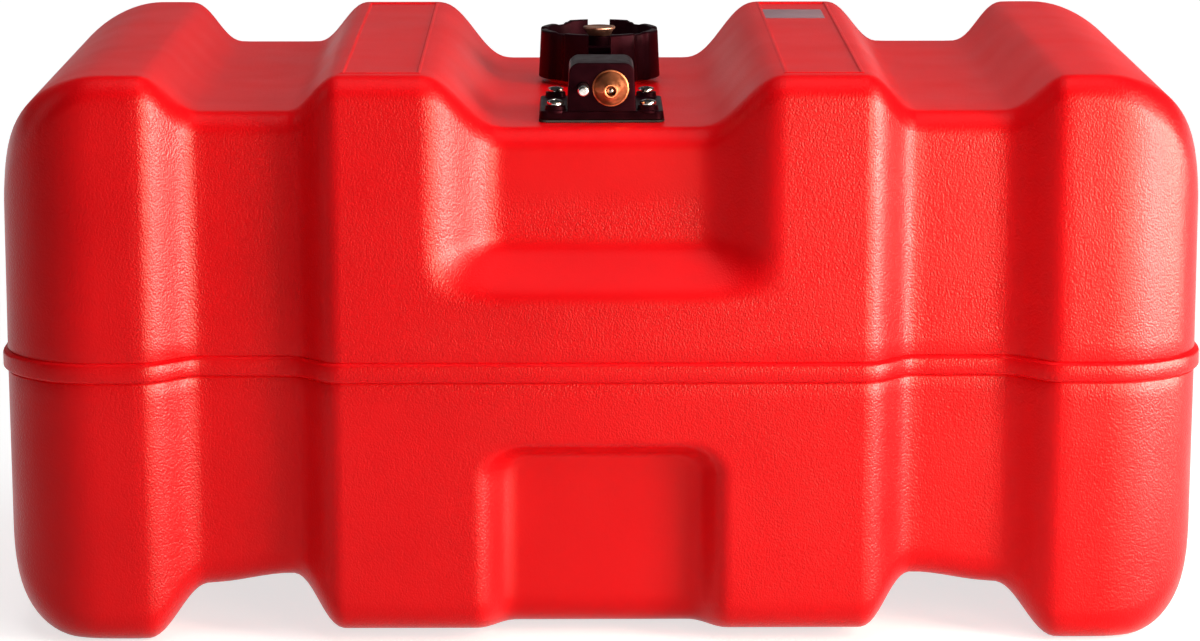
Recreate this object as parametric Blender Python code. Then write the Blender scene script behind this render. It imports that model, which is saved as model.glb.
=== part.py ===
"""Portable outboard fuel tank: a ribbed moulded shell, a fuel pickup head and a vented filler cap.

Metres, +Z up. The origin is on the floor under the middle of the tank, +X runs along its length and
its front, with the hand hold and the hose connector, faces -Y.
"""
import math

import bmesh
import bpy
from mathutils import Matrix, Vector

# Fits
SEAT_GAP = 0.0003
RUNNING_GAP = 0.0004
OVERRUN = 0.002

# Tank shell
TANK_LENGTH = 0.640
TANK_WIDTH = 0.356
TANK_HEIGHT = 0.3066
WALL = 0.0045
MIDDLE_LIFT = 0.0055
END_TOP_RADIUS = 0.058
END_BOTTOM_RADIUS = 0.038
END_UPRIGHT_RADIUS = 0.052
TOP_EDGE_RADIUS = 0.013
BOTTOM_EDGE_RADIUS = 0.019
END_FACE_RADIUS = 0.026
MOULD_DRAFT = 0.0035

# Strap grooves
GROOVE_CENTRE = 0.190
GROOVE_FLOOR = 0.047
GROOVE_INNER_FLANK = 0.027
GROOVE_OUTER_FLANK = 0.030
GROOVE_TOP_DEPTH = 0.0215
GROOVE_SIDE_DEPTH = 0.0195
GROOVE_BOTTOM_DEPTH = 0.026

# Recess for the fittings, with a front step that starts a rise above the band
RECESS_FLOOR = 0.108
RECESS_FLANK = 0.040
RECESS_DEPTH = 0.0308
RECESS_SETBACK = 0.024
RECESS_FOOT_RISE = 0.0372
RECESS_RAMP = 0.027

# Hand hold, with its top a drop below the band
POCKET_FLOOR = 0.094
POCKET_FLANK = 0.020
POCKET_DEPTH = 0.022
POCKET_TOP_DROP = 0.0498
POCKET_RAMP = 0.012

# Parting band, offset down from the middle of the tank's height
BAND_OFFSET = 0.0035
BAND_WIDTH = 0.0108
BAND_PROUD = 0.0028
BAND_EDGE = 0.0007

# Filler neck, set back from the pickup head
NECK_SPACING = 0.136
NECK_RADIUS = 0.0285
NECK_BORE_RADIUS = 0.0235
NECK_RISE = 0.0115

# Pickup head, set back from the tank's front
HEAD_SETBACK = 0.082
PLATE_WIDTH = 0.067
PLATE_DEPTH = 0.062
PLATE_THICKNESS = 0.0046
PLATE_CORNER = 0.004
GASKET_THICKNESS = 0.0010
SCREW_MARGIN_X = 0.00875
SCREW_MARGIN_Y = 0.0060
BOSS_RADIUS = 0.0055
BOSS_HEIGHT = 0.0028
BLOCK_WIDTH = 0.0364
BLOCK_DEPTH = 0.036
BLOCK_HEIGHT = 0.0257
BLOCK_SETBACK = 0.0020
BLOCK_CORNER = 0.0055
BLOCK_TAPER = 0.0008
SPIGOT_RADIUS = 0.0085
SPIGOT_LENGTH = 0.018
BARB_RADIUS = 0.0042
BARB_LENGTH = 0.014
BARB_STEP = 0.0006
FUEL_WAY_RADIUS = 0.0028

# Screws and inserts
SCREW_HEAD_RADIUS = 0.0040
SCREW_HEAD_HEIGHT = 0.0026
SCREW_SHANK_RADIUS = 0.0020
SCREW_LENGTH = 0.0160
INSERT_RADIUS = 0.0034
INSERT_LENGTH = 0.0090
INSERT_FLANGE = 0.0008
BOSS_PAD_DEPTH = 0.0100
BOSS_PAD_MARGIN = 0.003

# Hose connector
NOZZLE_OFFSET = 0.0048
PIN_OFFSET = -0.0098
CONNECTOR_RISE = 0.0123
NOZZLE_RADIUS = 0.00975
NOZZLE_TIP_RADIUS = 0.00375
NOZZLE_LENGTH = 0.0130
NOZZLE_RIM = 0.0010
NOZZLE_MOUTH_RADIUS = 0.0027
NOZZLE_MOUTH_DEPTH = 0.0030
NOZZLE_BORE_RADIUS = 0.0035
NOZZLE_SHANK_RADIUS = 0.0068
NOZZLE_SHANK_LENGTH = 0.0160
SPRING_SEAT_DEPTH = 0.0030
BALL_RADIUS = 0.0031
SPRING_RADIUS = 0.0024
SPRING_WIRE = 0.0006
SPRING_TURNS = 6
SEAL_WIRE = 0.0018
PIN_RADIUS = 0.0031
PIN_REACH = 0.0130
PIN_SHANK = 0.0110
PIN_NOSE = 0.0016

# Pickup tube and strainer
TUBE_WALL = 0.0014
TUBE_END_HEIGHT = 0.0180
STRAINER_RADIUS = 0.0092
STRAINER_LENGTH = 0.030
STRAINER_WALL = 0.0014
STRAINER_CLEARANCE = 0.0030
STRAINER_WINDOW = 0.0034
STRAINER_WINDOW_HEIGHT = 0.018

# Filler cap
CAP_RADIUS = 0.0368
CAP_LOBE = 0.0012
CAP_THREAD_GAP = 0.0010
CAP_SKIRT_LAP = 0.0085
CAP_FLOOR_THICKNESS = 0.0030
CAP_RIM_HEIGHT = 0.0140
CAP_RIM_WALL = 0.0034
CAP_TOP_DRAFT = 0.0012
CAP_SLOT_WIDTH = 0.0126
CAP_HORN_STEP = 0.0015
CAP_HORN_HALF_ANGLE = math.radians(33)
CAP_GASKET_THICKNESS = 0.0016
CAP_GASKET_WIDTH = 0.0044

# Air vent
HUB_RADIUS = 0.0120
HUB_BASE_HEIGHT = 0.0034
HUB_POST_RADIUS = 0.0070
HUB_POST_HEIGHT = 0.0055
HUB_CHAMBER_RADIUS = 0.0046
HUB_CHAMBER_HEIGHT = 0.0040
STEM_RADIUS = 0.0024
VENT_HOLE_RADIUS = 0.0020
VENT_SEAL_WIDTH = 0.0012
VENT_SEAL_HEIGHT = 0.0014
KNOB_RADIUS = 0.0092
KNOB_FOOT_RADIUS = 0.0066
KNOB_DISC_HEIGHT = 0.0014
KNOB_CONE_HEIGHT = 0.0036
KNOB_SOCKET_DEPTH = 0.0026
SPLASH_RADIUS = 0.0150
SPLASH_THICKNESS = 0.0012
SPLASH_DROP = 0.0022
SPLASH_LUG_RADIUS = 0.0022

# Counts
END_STEPS = 6
FLANK_STEPS = 5
ARC_STEPS = 2
ROUND_STEPS = 32
SMALL_ROUND_STEPS = 20
FASTENER_STEPS = 16
CAP_LOBES = 8
CAP_STEPS_PER_LOBE = 8
STRAINER_WINDOWS = 4

# Places worked out from the sizes above
HALF_LENGTH = TANK_LENGTH / 2
HALF_WIDTH = TANK_WIDTH / 2
BAND_HEIGHT = TANK_HEIGHT / 2 - BAND_OFFSET
POCKET_TOP = BAND_HEIGHT - POCKET_TOP_DROP
RECESS_FOOT = BAND_HEIGHT + RECESS_FOOT_RISE
RECESS_Z = TANK_HEIGHT - RECESS_DEPTH
HEAD_Y = HEAD_SETBACK - HALF_WIDTH
NECK_Y = HEAD_Y + NECK_SPACING
FRONT_PLATE_Y = HEAD_Y - PLATE_DEPTH / 2
PLATE_Z = RECESS_Z + GASKET_THICKNESS + 2 * SEAT_GAP
PLATE_TOP = PLATE_Z + PLATE_THICKNESS
BLOCK_FRONT_Y = FRONT_PLATE_Y + BLOCK_SETBACK
BLOCK_TOP = PLATE_TOP + BLOCK_HEIGHT
CONNECTOR_Z = PLATE_TOP + CONNECTOR_RISE
NECK_TOP = RECESS_Z + NECK_RISE
CAP_FLOOR_Z = NECK_TOP + CAP_GASKET_THICKNESS + 2 * SEAT_GAP
CAP_CUP_Z = CAP_FLOOR_Z + CAP_FLOOR_THICKNESS
CAP_TOP = CAP_CUP_Z + CAP_RIM_HEIGHT
HUB_Z = CAP_CUP_Z + SEAT_GAP
HUB_BASE_TOP = HUB_Z + HUB_BASE_HEIGHT
HUB_TOP = HUB_BASE_TOP + HUB_POST_HEIGHT
KNOB_Z = HUB_TOP + SEAT_GAP
TANK_FLOOR_INSIDE = MIDDLE_LIFT + WALL
LIP_RUN = 2 * (NOZZLE_BORE_RADIUS - NOZZLE_MOUTH_RADIUS)

# Colours, roughness and metallic value of each material
FINISHES = {
    "red_polyethylene": ((0.72, 0.010, 0.016, 1.0), 0.48, 0.0),
    "black_nylon": ((0.014, 0.012, 0.013, 1.0), 0.36, 0.0),
    "black_rubber": ((0.018, 0.018, 0.018, 1.0), 0.70, 0.0),
    "brass": ((0.70, 0.36, 0.13, 1.0), 0.28, 1.0),
    "copper_anodised": ((0.72, 0.34, 0.20, 1.0), 0.38, 0.8),
    "zinc_steel": ((0.62, 0.60, 0.58, 1.0), 0.25, 1.0),
    "fuel_hose": ((0.05, 0.05, 0.055, 1.0), 0.55, 0.0),
    "white_acetal": ((0.72, 0.71, 0.68, 1.0), 0.40, 0.0),
}


def clear_scene():
    """Start from nothing, so the file can be run twice."""
    for item in list(bpy.data.objects):
        bpy.data.objects.remove(item, do_unlink=True)


def finish(name):
    """A Principled material from the table of finishes."""
    found = bpy.data.materials.get(name)
    if found:
        return found
    colour, roughness, metallic = FINISHES[name]
    material = bpy.data.materials.new(name)
    material.use_nodes = True
    shader = material.node_tree.nodes["Principled BSDF"]
    shader.inputs["Base Color"].default_value = colour
    shader.inputs["Roughness"].default_value = roughness
    shader.inputs["Metallic"].default_value = metallic
    material.diffuse_color = colour
    return material


def place(name, mesh_data, material, parent=None, at=(0.0, 0.0, 0.0)):
    """Put a bmesh in the scene as a named object with smooth round faces."""
    bmesh.ops.recalc_face_normals(mesh_data, faces=mesh_data.faces)
    mesh = bpy.data.meshes.new(name)
    mesh_data.to_mesh(mesh)
    mesh_data.free()
    mesh.shade_smooth()
    mesh.set_sharp_from_angle(angle=math.radians(35))
    item = bpy.data.objects.new(name, mesh)
    item.data.materials.append(finish(material))
    bpy.context.collection.objects.link(item)
    item.parent = parent
    item.location = at
    return item


def joint_empty(name, at, parent=None):
    """An empty that marks the axis of a moving group."""
    empty = bpy.data.objects.new(name, None)
    bpy.context.collection.objects.link(empty)
    empty.parent = parent
    empty.location = at
    return empty


def cutter(item):
    """Hide a shape that only cuts or joins another."""
    item.hide_render = True
    item.display_type = "WIRE"
    return item


def combine(target, other, operation="DIFFERENCE"):
    """Cut the other shape out of the target, or join it on."""
    modifier = target.modifiers.new(operation.lower() + "_" + other.name, "BOOLEAN")
    modifier.operation = operation
    modifier.solver = "EXACT"
    modifier.object = cutter(other)


def turned(profile, steps=ROUND_STEPS):
    """Turn a profile of (radius, height) points about Z.

    A profile that starts and ends on the axis closes there, any other is closed by its last edge.
    """
    shape = bmesh.new()
    points = [shape.verts.new((radius, 0.0, height)) for radius, height in profile]
    pairs = list(zip(points, points[1:]))
    if profile[0][0] > 0.0:
        pairs.append((points[-1], points[0]))
    edges = [shape.edges.new(pair) for pair in pairs]
    bmesh.ops.spin(
        shape,
        geom=points + edges,
        cent=(0.0, 0.0, 0.0),
        axis=(0.0, 0.0, 1.0),
        angle=math.tau,
        steps=steps,
        use_merge=True,
    )
    bmesh.ops.remove_doubles(shape, verts=shape.verts, dist=SEAT_GAP / 100)
    return shape


def lay_along_y(shape):
    """Turn a shape made along +Z so that it runs along +Y."""
    bmesh.ops.rotate(
        shape,
        verts=shape.verts,
        cent=(0.0, 0.0, 0.0),
        matrix=Matrix.Rotation(math.radians(-90), 3, "X"),
    )
    return shape


def arc(centre, radius, start, end, steps):
    """Points on an arc, in degrees, both ends included."""
    points = []
    for step in range(steps + 1):
        angle = math.radians(start + (end - start) * step / steps)
        points.append((centre[0] + radius * math.cos(angle), centre[1] + radius * math.sin(angle)))
    return points


def rounded_rectangle(width, depth, radius, steps=3):
    """Outline of a rectangle with round corners about the origin."""
    x, y = width / 2 - radius, depth / 2 - radius
    points = arc((x, y), radius, 0, 90, steps)
    points += arc((-x, y), radius, 90, 180, steps)
    points += arc((-x, -y), radius, 180, 270, steps)
    points += arc((x, -y), radius, 270, 360, steps)
    return points


def prism(outline, low, high, taper=1.0):
    """Extrude an outline from one height to another, drawn in by the taper at its top."""
    shape = bmesh.new()
    base = shape.faces.new([shape.verts.new((x, y, low)) for x, y in outline])
    grown = bmesh.ops.extrude_face_region(shape, geom=[base])
    top = [item for item in grown["geom"] if isinstance(item, bmesh.types.BMVert)]
    bmesh.ops.translate(shape, verts=top, vec=(0.0, 0.0, high - low))
    bmesh.ops.scale(shape, verts=top, vec=(taper, taper, 1.0))
    return shape


def rod(radius, low, high, steps=SMALL_ROUND_STEPS):
    """A plain solid rod along Z."""
    return turned([(0.0, low), (radius, low), (radius, high), (0.0, high)], steps)


def ramp(value, start, end):
    """0 up to the start, 1 from the end on, and an even S between them."""
    share = min(max((value - start) / (end - start), 0.0), 1.0)
    return share * share * (3.0 - 2.0 * share)


def groove_share(x, inset):
    """How far the strap groove is cut in at x, from 0 on a ridge to 1 on its floor.

    The cavity's groove is a little wider, so that the sloping wall keeps its thickness.
    """
    half = (GROOVE_FLOOR + inset) / 2
    inner = GROOVE_CENTRE - half
    outer = GROOVE_CENTRE + half
    rise = ramp(abs(x), inner - GROOVE_INNER_FLANK, inner)
    return rise * (1.0 - ramp(abs(x), outer, outer + GROOVE_OUTER_FLANK))


def recess_share(x, inset):
    """How far the fittings' recess is cut in at x."""
    half = (RECESS_FLOOR + inset) / 2
    return 1.0 - ramp(abs(x), half, half + RECESS_FLANK)


def pocket_share(x, z, inset):
    """How far the hand hold is cut in at x and z."""
    half = (POCKET_FLOOR + inset) / 2
    across = 1.0 - ramp(abs(x), half, half + POCKET_FLANK)
    return across * (1.0 - ramp(z, POCKET_TOP + inset, POCKET_TOP + POCKET_RAMP + inset))


def end_drop(x, radius, inset):
    """How far a face curves away towards the tank's end, on a quarter circle."""
    past = max(abs(x) - (HALF_LENGTH - radius), 0.0)
    round_radius = radius - inset
    return round_radius - math.sqrt(max(round_radius ** 2 - past ** 2, 0.0))


def half_depth(x, z, inset):
    """Distance of the front face from the middle plane."""
    above = max(z - BAND_HEIGHT, 0.0) / (TANK_HEIGHT - BAND_HEIGHT)
    below = max(BAND_HEIGHT - z, 0.0) / BAND_HEIGHT
    depth = HALF_WIDTH - inset - end_drop(x, END_UPRIGHT_RADIUS, inset)
    depth -= MOULD_DRAFT * max(above, below)
    depth -= GROOVE_SIDE_DEPTH * groove_share(x, inset)
    foot = ramp(z, RECESS_FOOT - inset, RECESS_FOOT + RECESS_RAMP - inset)
    depth -= RECESS_SETBACK * recess_share(x, inset) * foot
    depth -= POCKET_DEPTH * pocket_share(x, z, inset)
    return depth


def top_height(x, inset):
    """Height of the top face at x."""
    height = TANK_HEIGHT - inset - end_drop(x, END_TOP_RADIUS, inset)
    height -= GROOVE_TOP_DEPTH * groove_share(x, inset)
    return height - RECESS_DEPTH * recess_share(x, inset)


def bottom_height(x, inset):
    """Height of the underside at x: the tank stands on its two end ridges."""
    middle = 1.0 - ramp(abs(x), GROOVE_CENTRE - GROOVE_FLOOR / 2, GROOVE_CENTRE + GROOVE_FLOOR / 2)
    height = inset + end_drop(x, END_BOTTOM_RADIUS, inset)
    height += GROOVE_BOTTOM_DEPTH * groove_share(x, inset)
    return height + MIDDLE_LIFT * middle


def lengthwise_stations(inset, end_steps, flank_steps):
    """Places along X for the sections: close together where the shape bends."""
    half_groove = (GROOVE_FLOOR + inset) / 2
    half_recess = (RECESS_FLOOR + inset) / 2
    half_pocket = (POCKET_FLOOR + inset) / 2
    spans = [
        (half_recess, half_recess + RECESS_FLANK),
        (GROOVE_CENTRE - half_groove - GROOVE_INNER_FLANK, GROOVE_CENTRE - half_groove),
        (GROOVE_CENTRE + half_groove, GROOVE_CENTRE + half_groove + GROOVE_OUTER_FLANK),
    ]
    places = [0.0, half_pocket, half_pocket + POCKET_FLANK]
    for start, end in spans:
        places += [start + (end - start) * step / flank_steps for step in range(flank_steps + 1)]
    for step in range(end_steps + 1):
        turn = math.sin(math.radians(90) * step / end_steps)
        places.append(HALF_LENGTH - END_TOP_RADIUS + (END_TOP_RADIUS - inset) * turn)
    kept = [0.0]
    least_step = (half_recess + RECESS_FLANK) / (8 * flank_steps)
    for place_x in sorted(places):
        if place_x - kept[-1] > least_step:
            kept.append(place_x)
    kept[-1] = HALF_LENGTH - inset
    return [-place_x for place_x in reversed(kept[1:])] + kept


def side_levels(inset, fine):
    """Heights of the side's fixed rows, the parting band's among them."""
    pocket_low, pocket_high = POCKET_TOP + inset, POCKET_TOP + POCKET_RAMP + inset
    foot_low, foot_high = RECESS_FOOT - inset, RECESS_FOOT + RECESS_RAMP - inset
    if not fine:
        return [pocket_low, pocket_high, foot_low, (foot_low + foot_high) / 2, foot_high]
    half = BAND_WIDTH / 2
    band = [BAND_HEIGHT - half, BAND_HEIGHT - half + BAND_EDGE]
    band += [BAND_HEIGHT + half - BAND_EDGE, BAND_HEIGHT + half]
    third = (foot_high - foot_low) / 3
    foot = [foot_low, foot_low + third, foot_high - third, foot_high]
    return [pocket_low, (pocket_low + pocket_high) / 2, pocket_high] + band + foot


def side_column(x, inset, levels, arc_steps):
    """One side of a section, as (half depth, height) points from the bottom corner to the top one.

    Each corner's arc is shared with the top or the bottom at its middle.
    """
    to_end = ramp(abs(x), HALF_LENGTH - END_TOP_RADIUS, HALF_LENGTH)
    low_radius = BOTTOM_EDGE_RADIUS + (END_FACE_RADIUS - BOTTOM_EDGE_RADIUS) * to_end - inset
    high_radius = TOP_EDGE_RADIUS + (END_FACE_RADIUS - TOP_EDGE_RADIUS) * to_end - inset
    low_z = bottom_height(x, inset) + low_radius
    high_z = top_height(x, inset) - high_radius
    heights = [low_z, (low_z + levels[0]) / 2] + levels + [(levels[-1] + high_z) / 2, high_z]
    low_centre = (half_depth(x, low_z, inset) - low_radius, low_z)
    high_centre = (half_depth(x, high_z, inset) - high_radius, high_z)
    column = arc(low_centre, low_radius, -45, 0, arc_steps)[:-1]
    column += [(half_depth(x, z, inset), z) for z in heights]
    column += arc(high_centre, high_radius, 0, 45, arc_steps)[1:]
    foot = arc(low_centre, low_radius, -90, -45, arc_steps)
    head = arc(high_centre, high_radius, 45, 90, arc_steps)
    return column, foot, head


def section(x, inset, levels, arc_steps):
    """A closed section at x: its front, top, rear and bottom rows of points as one loop."""
    column, foot, head = side_column(x, inset, levels, arc_steps)
    front = [(-depth, z) for depth, z in column]
    top = [(-depth, z) for depth, z in head[1:]] + list(reversed(head[1:]))
    rear = list(reversed(column))
    bottom = list(reversed(foot[:-1])) + [(-depth, z) for depth, z in foot[:-1]]
    return front + top + rear + bottom, len(column), len(top) + 1


def blend(first, second, share):
    """A point part of the way from the first to the second."""
    return first + (second - first) * share


def end_rows(loop, rows, columns):
    """Split an end loop into its front, rear, bottom and top rows of points."""
    front = loop[:rows]
    top = loop[rows - 1:rows + columns]
    rear = list(reversed(loop[rows + columns - 1:2 * rows + columns - 1]))
    under = list(reversed(loop[2 * rows + columns - 1:]))
    bottom = [loop[0]] + under + [rear[0]]
    return front, rear, bottom, top


def close_end(shape, loop, rows, columns):
    """Fill an end loop with level rows, so that the band runs on across the end face."""
    front, rear, bottom, top = end_rows(loop, rows, columns)
    grid = [front]
    for column in range(1, columns):
        across = (bottom[column].co.y - bottom[0].co.y) / (bottom[-1].co.y - bottom[0].co.y)
        line = [bottom[column]]
        for row in range(1, rows - 1):
            line.append(shape.verts.new(front[row].co.lerp(rear[row].co, across)))
        line.append(top[column])
        grid.append(line)
    grid.append(rear)
    for near, far in zip(grid, grid[1:]):
        for row in range(rows - 1):
            shape.faces.new((near[row], near[row + 1], far[row + 1], far[row]))


def shell(inset, end_steps, flank_steps, arc_steps, fine):
    """Loft the tank's form through sections along X, drawn in everywhere by the inset."""
    shape = bmesh.new()
    levels = side_levels(inset, fine)
    loops = []
    for x in lengthwise_stations(inset, end_steps, flank_steps):
        points, rows, columns = section(x, inset, levels, arc_steps)
        loops.append([shape.verts.new((x, y, z)) for y, z in points])
    for near, far in zip(loops, loops[1:]):
        for index in range(len(near)):
            after = (index + 1) % len(near)
            shape.faces.new((near[index], near[after], far[after], far[index]))
    close_end(shape, loops[0], rows, columns)
    close_end(shape, loops[-1], rows, columns)
    bmesh.ops.recalc_face_normals(shape, faces=shape.faces)
    return shape


def raise_band(shape):
    """Push the two middle rows of the parting band out along the skin's level direction."""
    shape.normal_update()
    reach = BAND_WIDTH / 2 - BAND_EDGE / 2
    moves = []
    for vert in shape.verts:
        if abs(vert.co.z - BAND_HEIGHT) < reach:
            level = Vector((vert.normal.x, vert.normal.y, 0.0))
            moves.append((vert, level.normalized() * BAND_PROUD))
    for vert, move in moves:
        vert.co += move


def tank_cavity():
    """The fuel space, left thick under the pickup head where the screws' inserts sit."""
    shape = shell(WALL, END_STEPS - 2, FLANK_STEPS - 2, 1, False)
    cavity = place("cavity_form", shape, "red_polyethylene")
    wide = PLATE_WIDTH + 2 * BOSS_PAD_MARGIN
    deep = PLATE_DEPTH - 2 * BOSS_PAD_MARGIN
    low = RECESS_Z - WALL - BOSS_PAD_DEPTH
    pad = prism(rounded_rectangle(wide, deep, PLATE_CORNER, 2), low, RECESS_Z + OVERRUN)
    combine(cavity, place("boss_pad_form", pad, "red_polyethylene", at=(0.0, HEAD_Y, 0.0)))
    return cavity


def screw_places():
    """The four screws, front left first, then front right, rear left and rear right."""
    reach_x = PLATE_WIDTH / 2 - SCREW_MARGIN_X
    reach_y = PLATE_DEPTH / 2 - SCREW_MARGIN_Y
    places = []
    for side_y in (-1, 1):
        for side_x in (-1, 1):
            places.append((side_x * reach_x, HEAD_Y + side_y * reach_y))
    return places


def make_tank():
    """The moulded shell with its neck, the pickup hole and the pockets for the inserts."""
    shape = shell(0.0, END_STEPS, FLANK_STEPS, ARC_STEPS, True)
    raise_band(shape)
    tank = place("tank_body", shape, "red_polyethylene")
    neck = rod(NECK_RADIUS, RECESS_Z - WALL / 2, NECK_TOP, ROUND_STEPS)
    combine(tank, place("neck_form", neck, "red_polyethylene", at=(0.0, NECK_Y, 0.0)), "UNION")
    combine(tank, tank_cavity())
    bore = rod(NECK_BORE_RADIUS, RECESS_Z - 2 * WALL, NECK_TOP + OVERRUN, ROUND_STEPS)
    combine(tank, place("neck_bore_form", bore, "red_polyethylene", at=(0.0, NECK_Y, 0.0)))
    low = RECESS_Z - WALL - BOSS_PAD_DEPTH - OVERRUN
    hole = rod(SPIGOT_RADIUS + RUNNING_GAP, low, RECESS_Z + OVERRUN)
    combine(tank, place("pickup_hole_form", hole, "red_polyethylene", at=(0.0, HEAD_Y, 0.0)))
    low = RECESS_Z - INSERT_LENGTH - SEAT_GAP
    for number, (x, y) in enumerate(screw_places(), 1):
        pocket = rod(INSERT_RADIUS + SEAT_GAP, low, RECESS_Z + OVERRUN)
        name = "insert_pocket_form_" + str(number)
        combine(tank, place(name, pocket, "red_polyethylene", at=(x, y, 0.0)))
    return tank


def make_inserts():
    """Brass inserts moulded into the tank, each a plain tube with a flange at its mouth."""
    bore = SCREW_SHANK_RADIUS + SEAT_GAP
    top = RECESS_Z - SEAT_GAP
    body = INSERT_RADIUS - INSERT_FLANGE / 2
    for number, (x, y) in enumerate(screw_places(), 1):
        profile = [
            (bore, top),
            (INSERT_RADIUS, top),
            (INSERT_RADIUS, top - INSERT_FLANGE),
            (body, top - 2 * INSERT_FLANGE),
            (body, RECESS_Z - INSERT_LENGTH + INSERT_FLANGE),
            (INSERT_RADIUS, RECESS_Z - INSERT_LENGTH + INSERT_FLANGE),
            (INSERT_RADIUS, RECESS_Z - INSERT_LENGTH),
            (bore, RECESS_Z - INSERT_LENGTH),
        ]
        shape = turned(profile, FASTENER_STEPS)
        place("thread_insert_" + str(number), shape, "brass", at=(x, y, 0.0))


def screw_hole_cutters(prefix, target, radius):
    """Four holes on the screws' places through the target."""
    for number, (x, y) in enumerate(screw_places(), 1):
        hole = rod(radius, RECESS_Z - OVERRUN, PLATE_TOP + BOSS_HEIGHT + OVERRUN, SMALL_ROUND_STEPS)
        name = prefix + "_hole_form_" + str(number)
        combine(target, place(name, hole, "black_nylon", at=(x, y, 0.0)))


def make_pickup_gasket():
    """Flat rubber seal under the flange, with the spigot's hole and the screws' holes."""
    low = RECESS_Z + SEAT_GAP
    outline = rounded_rectangle(PLATE_WIDTH, PLATE_DEPTH, PLATE_CORNER)
    shape = prism(outline, low, low + GASKET_THICKNESS)
    gasket = place("pickup_gasket", shape, "black_rubber", at=(0.0, HEAD_Y, 0.0))
    hole = rod(SPIGOT_RADIUS + RUNNING_GAP, RECESS_Z - OVERRUN, PLATE_Z + OVERRUN)
    combine(gasket, place("gasket_hole_form", hole, "black_rubber", at=(0.0, HEAD_Y, 0.0)))
    screw_hole_cutters("gasket", gasket, SCREW_SHANK_RADIUS + RUNNING_GAP)


def connector_block():
    """The block that holds the hose connector: round top corners, slightly narrower at the top."""
    half = BLOCK_WIDTH / 2
    slim = half - BLOCK_TAPER
    top = BLOCK_TOP - BLOCK_CORNER
    outline = [(half, PLATE_TOP - OVERRUN)]
    outline += arc((slim - BLOCK_CORNER, top), BLOCK_CORNER, 0, 90, 5)
    outline += arc((BLOCK_CORNER - slim, top), BLOCK_CORNER, 90, 180, 5)
    outline.append((-half, PLATE_TOP - OVERRUN))
    shape = bmesh.new()
    front = shape.faces.new([shape.verts.new((x, BLOCK_FRONT_Y, z)) for x, z in outline])
    grown = bmesh.ops.extrude_face_region(shape, geom=[front])
    back = [item for item in grown["geom"] if isinstance(item, bmesh.types.BMVert)]
    bmesh.ops.translate(shape, verts=back, vec=(0.0, BLOCK_DEPTH, 0.0))
    return shape


def spigot():
    """The plug that goes down through the tank's wall and ends in a barb for the tube."""
    shoulder = PLATE_Z - SPIGOT_LENGTH
    end = shoulder - BARB_LENGTH
    barb = BARB_RADIUS + BARB_STEP
    profile = [
        (0.0, PLATE_Z + OVERRUN),
        (SPIGOT_RADIUS, PLATE_Z + OVERRUN),
        (SPIGOT_RADIUS, shoulder),
        (BARB_RADIUS, shoulder),
        (BARB_RADIUS, blend(shoulder, end, 0.5)),
        (barb, blend(shoulder, end, 0.5)),
        (BARB_RADIUS, blend(shoulder, end, 0.75)),
        (barb, blend(shoulder, end, 0.75)),
        (BARB_RADIUS - BARB_STEP, end),
        (0.0, end),
    ]
    return turned(profile, SMALL_ROUND_STEPS)


def make_pickup_head():
    """Flange, screw bosses, connector block and spigot as one moulding with its fuel ways."""
    outline = rounded_rectangle(PLATE_WIDTH, PLATE_DEPTH, PLATE_CORNER)
    plate = prism(outline, PLATE_Z, PLATE_TOP, 1.0 - 2 * BLOCK_TAPER / PLATE_WIDTH)
    head = place("pickup_head", plate, "black_nylon", at=(0.0, HEAD_Y, 0.0))
    for number, (x, y) in enumerate(screw_places(), 1):
        boss = rod(BOSS_RADIUS, PLATE_TOP - OVERRUN, PLATE_TOP + BOSS_HEIGHT)
        name = "boss_form_" + str(number)
        combine(head, place(name, boss, "black_nylon", at=(x, y, 0.0)), "UNION")
    combine(head, place("block_form", connector_block(), "black_nylon"), "UNION")
    combine(head, place("spigot_form", spigot(), "black_nylon", at=(0.0, HEAD_Y, 0.0)), "UNION")
    screw_hole_cutters("head", head, SCREW_SHANK_RADIUS + RUNNING_GAP)
    cut_fuel_ways(head)
    return head


def cut_fuel_ways(head):
    """Stepped bore for the nozzle, a hole for the pin and the way down to the tube."""
    shank_end = NOZZLE_SHANK_LENGTH + SEAT_GAP
    seal_reach = NOZZLE_SHANK_RADIUS + SEAL_WIRE + SEAT_GAP
    seal_depth = SEAL_WIRE + SEAT_GAP
    way = HEAD_Y - BLOCK_FRONT_Y + FUEL_WAY_RADIUS
    profile = [
        (0.0, -OVERRUN),
        (seal_reach, -OVERRUN),
        (seal_reach, seal_depth),
        (NOZZLE_SHANK_RADIUS + SEAT_GAP, seal_depth),
        (NOZZLE_SHANK_RADIUS + SEAT_GAP, shank_end),
        (FUEL_WAY_RADIUS, shank_end),
        (FUEL_WAY_RADIUS, way),
        (0.0, way),
    ]
    bore = lay_along_y(turned(profile, 24))
    at = (NOZZLE_OFFSET, BLOCK_FRONT_Y, CONNECTOR_Z)
    combine(head, place("nozzle_bore_form", bore, "black_nylon", at=at))
    hole = lay_along_y(rod(PIN_RADIUS + SEAT_GAP, -OVERRUN, PIN_SHANK + SEAT_GAP))
    at = (PIN_OFFSET, BLOCK_FRONT_Y, CONNECTOR_Z)
    combine(head, place("pin_hole_form", hole, "black_nylon", at=at))
    low = PLATE_Z - SPIGOT_LENGTH - BARB_LENGTH - OVERRUN
    across = 2 * NOZZLE_OFFSET + FUEL_WAY_RADIUS
    outline = rounded_rectangle(across, 2 * FUEL_WAY_RADIUS, FUEL_WAY_RADIUS / 2, 2)
    down = prism(outline, PLATE_TOP, CONNECTOR_Z)
    combine(head, place("cross_way_form", down, "black_nylon", at=(0.0, HEAD_Y, 0.0)))
    drop = rod(FUEL_WAY_RADIUS, low, PLATE_TOP + OVERRUN, 16)
    combine(head, place("drop_way_form", drop, "black_nylon", at=(0.0, HEAD_Y, 0.0)))


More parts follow.
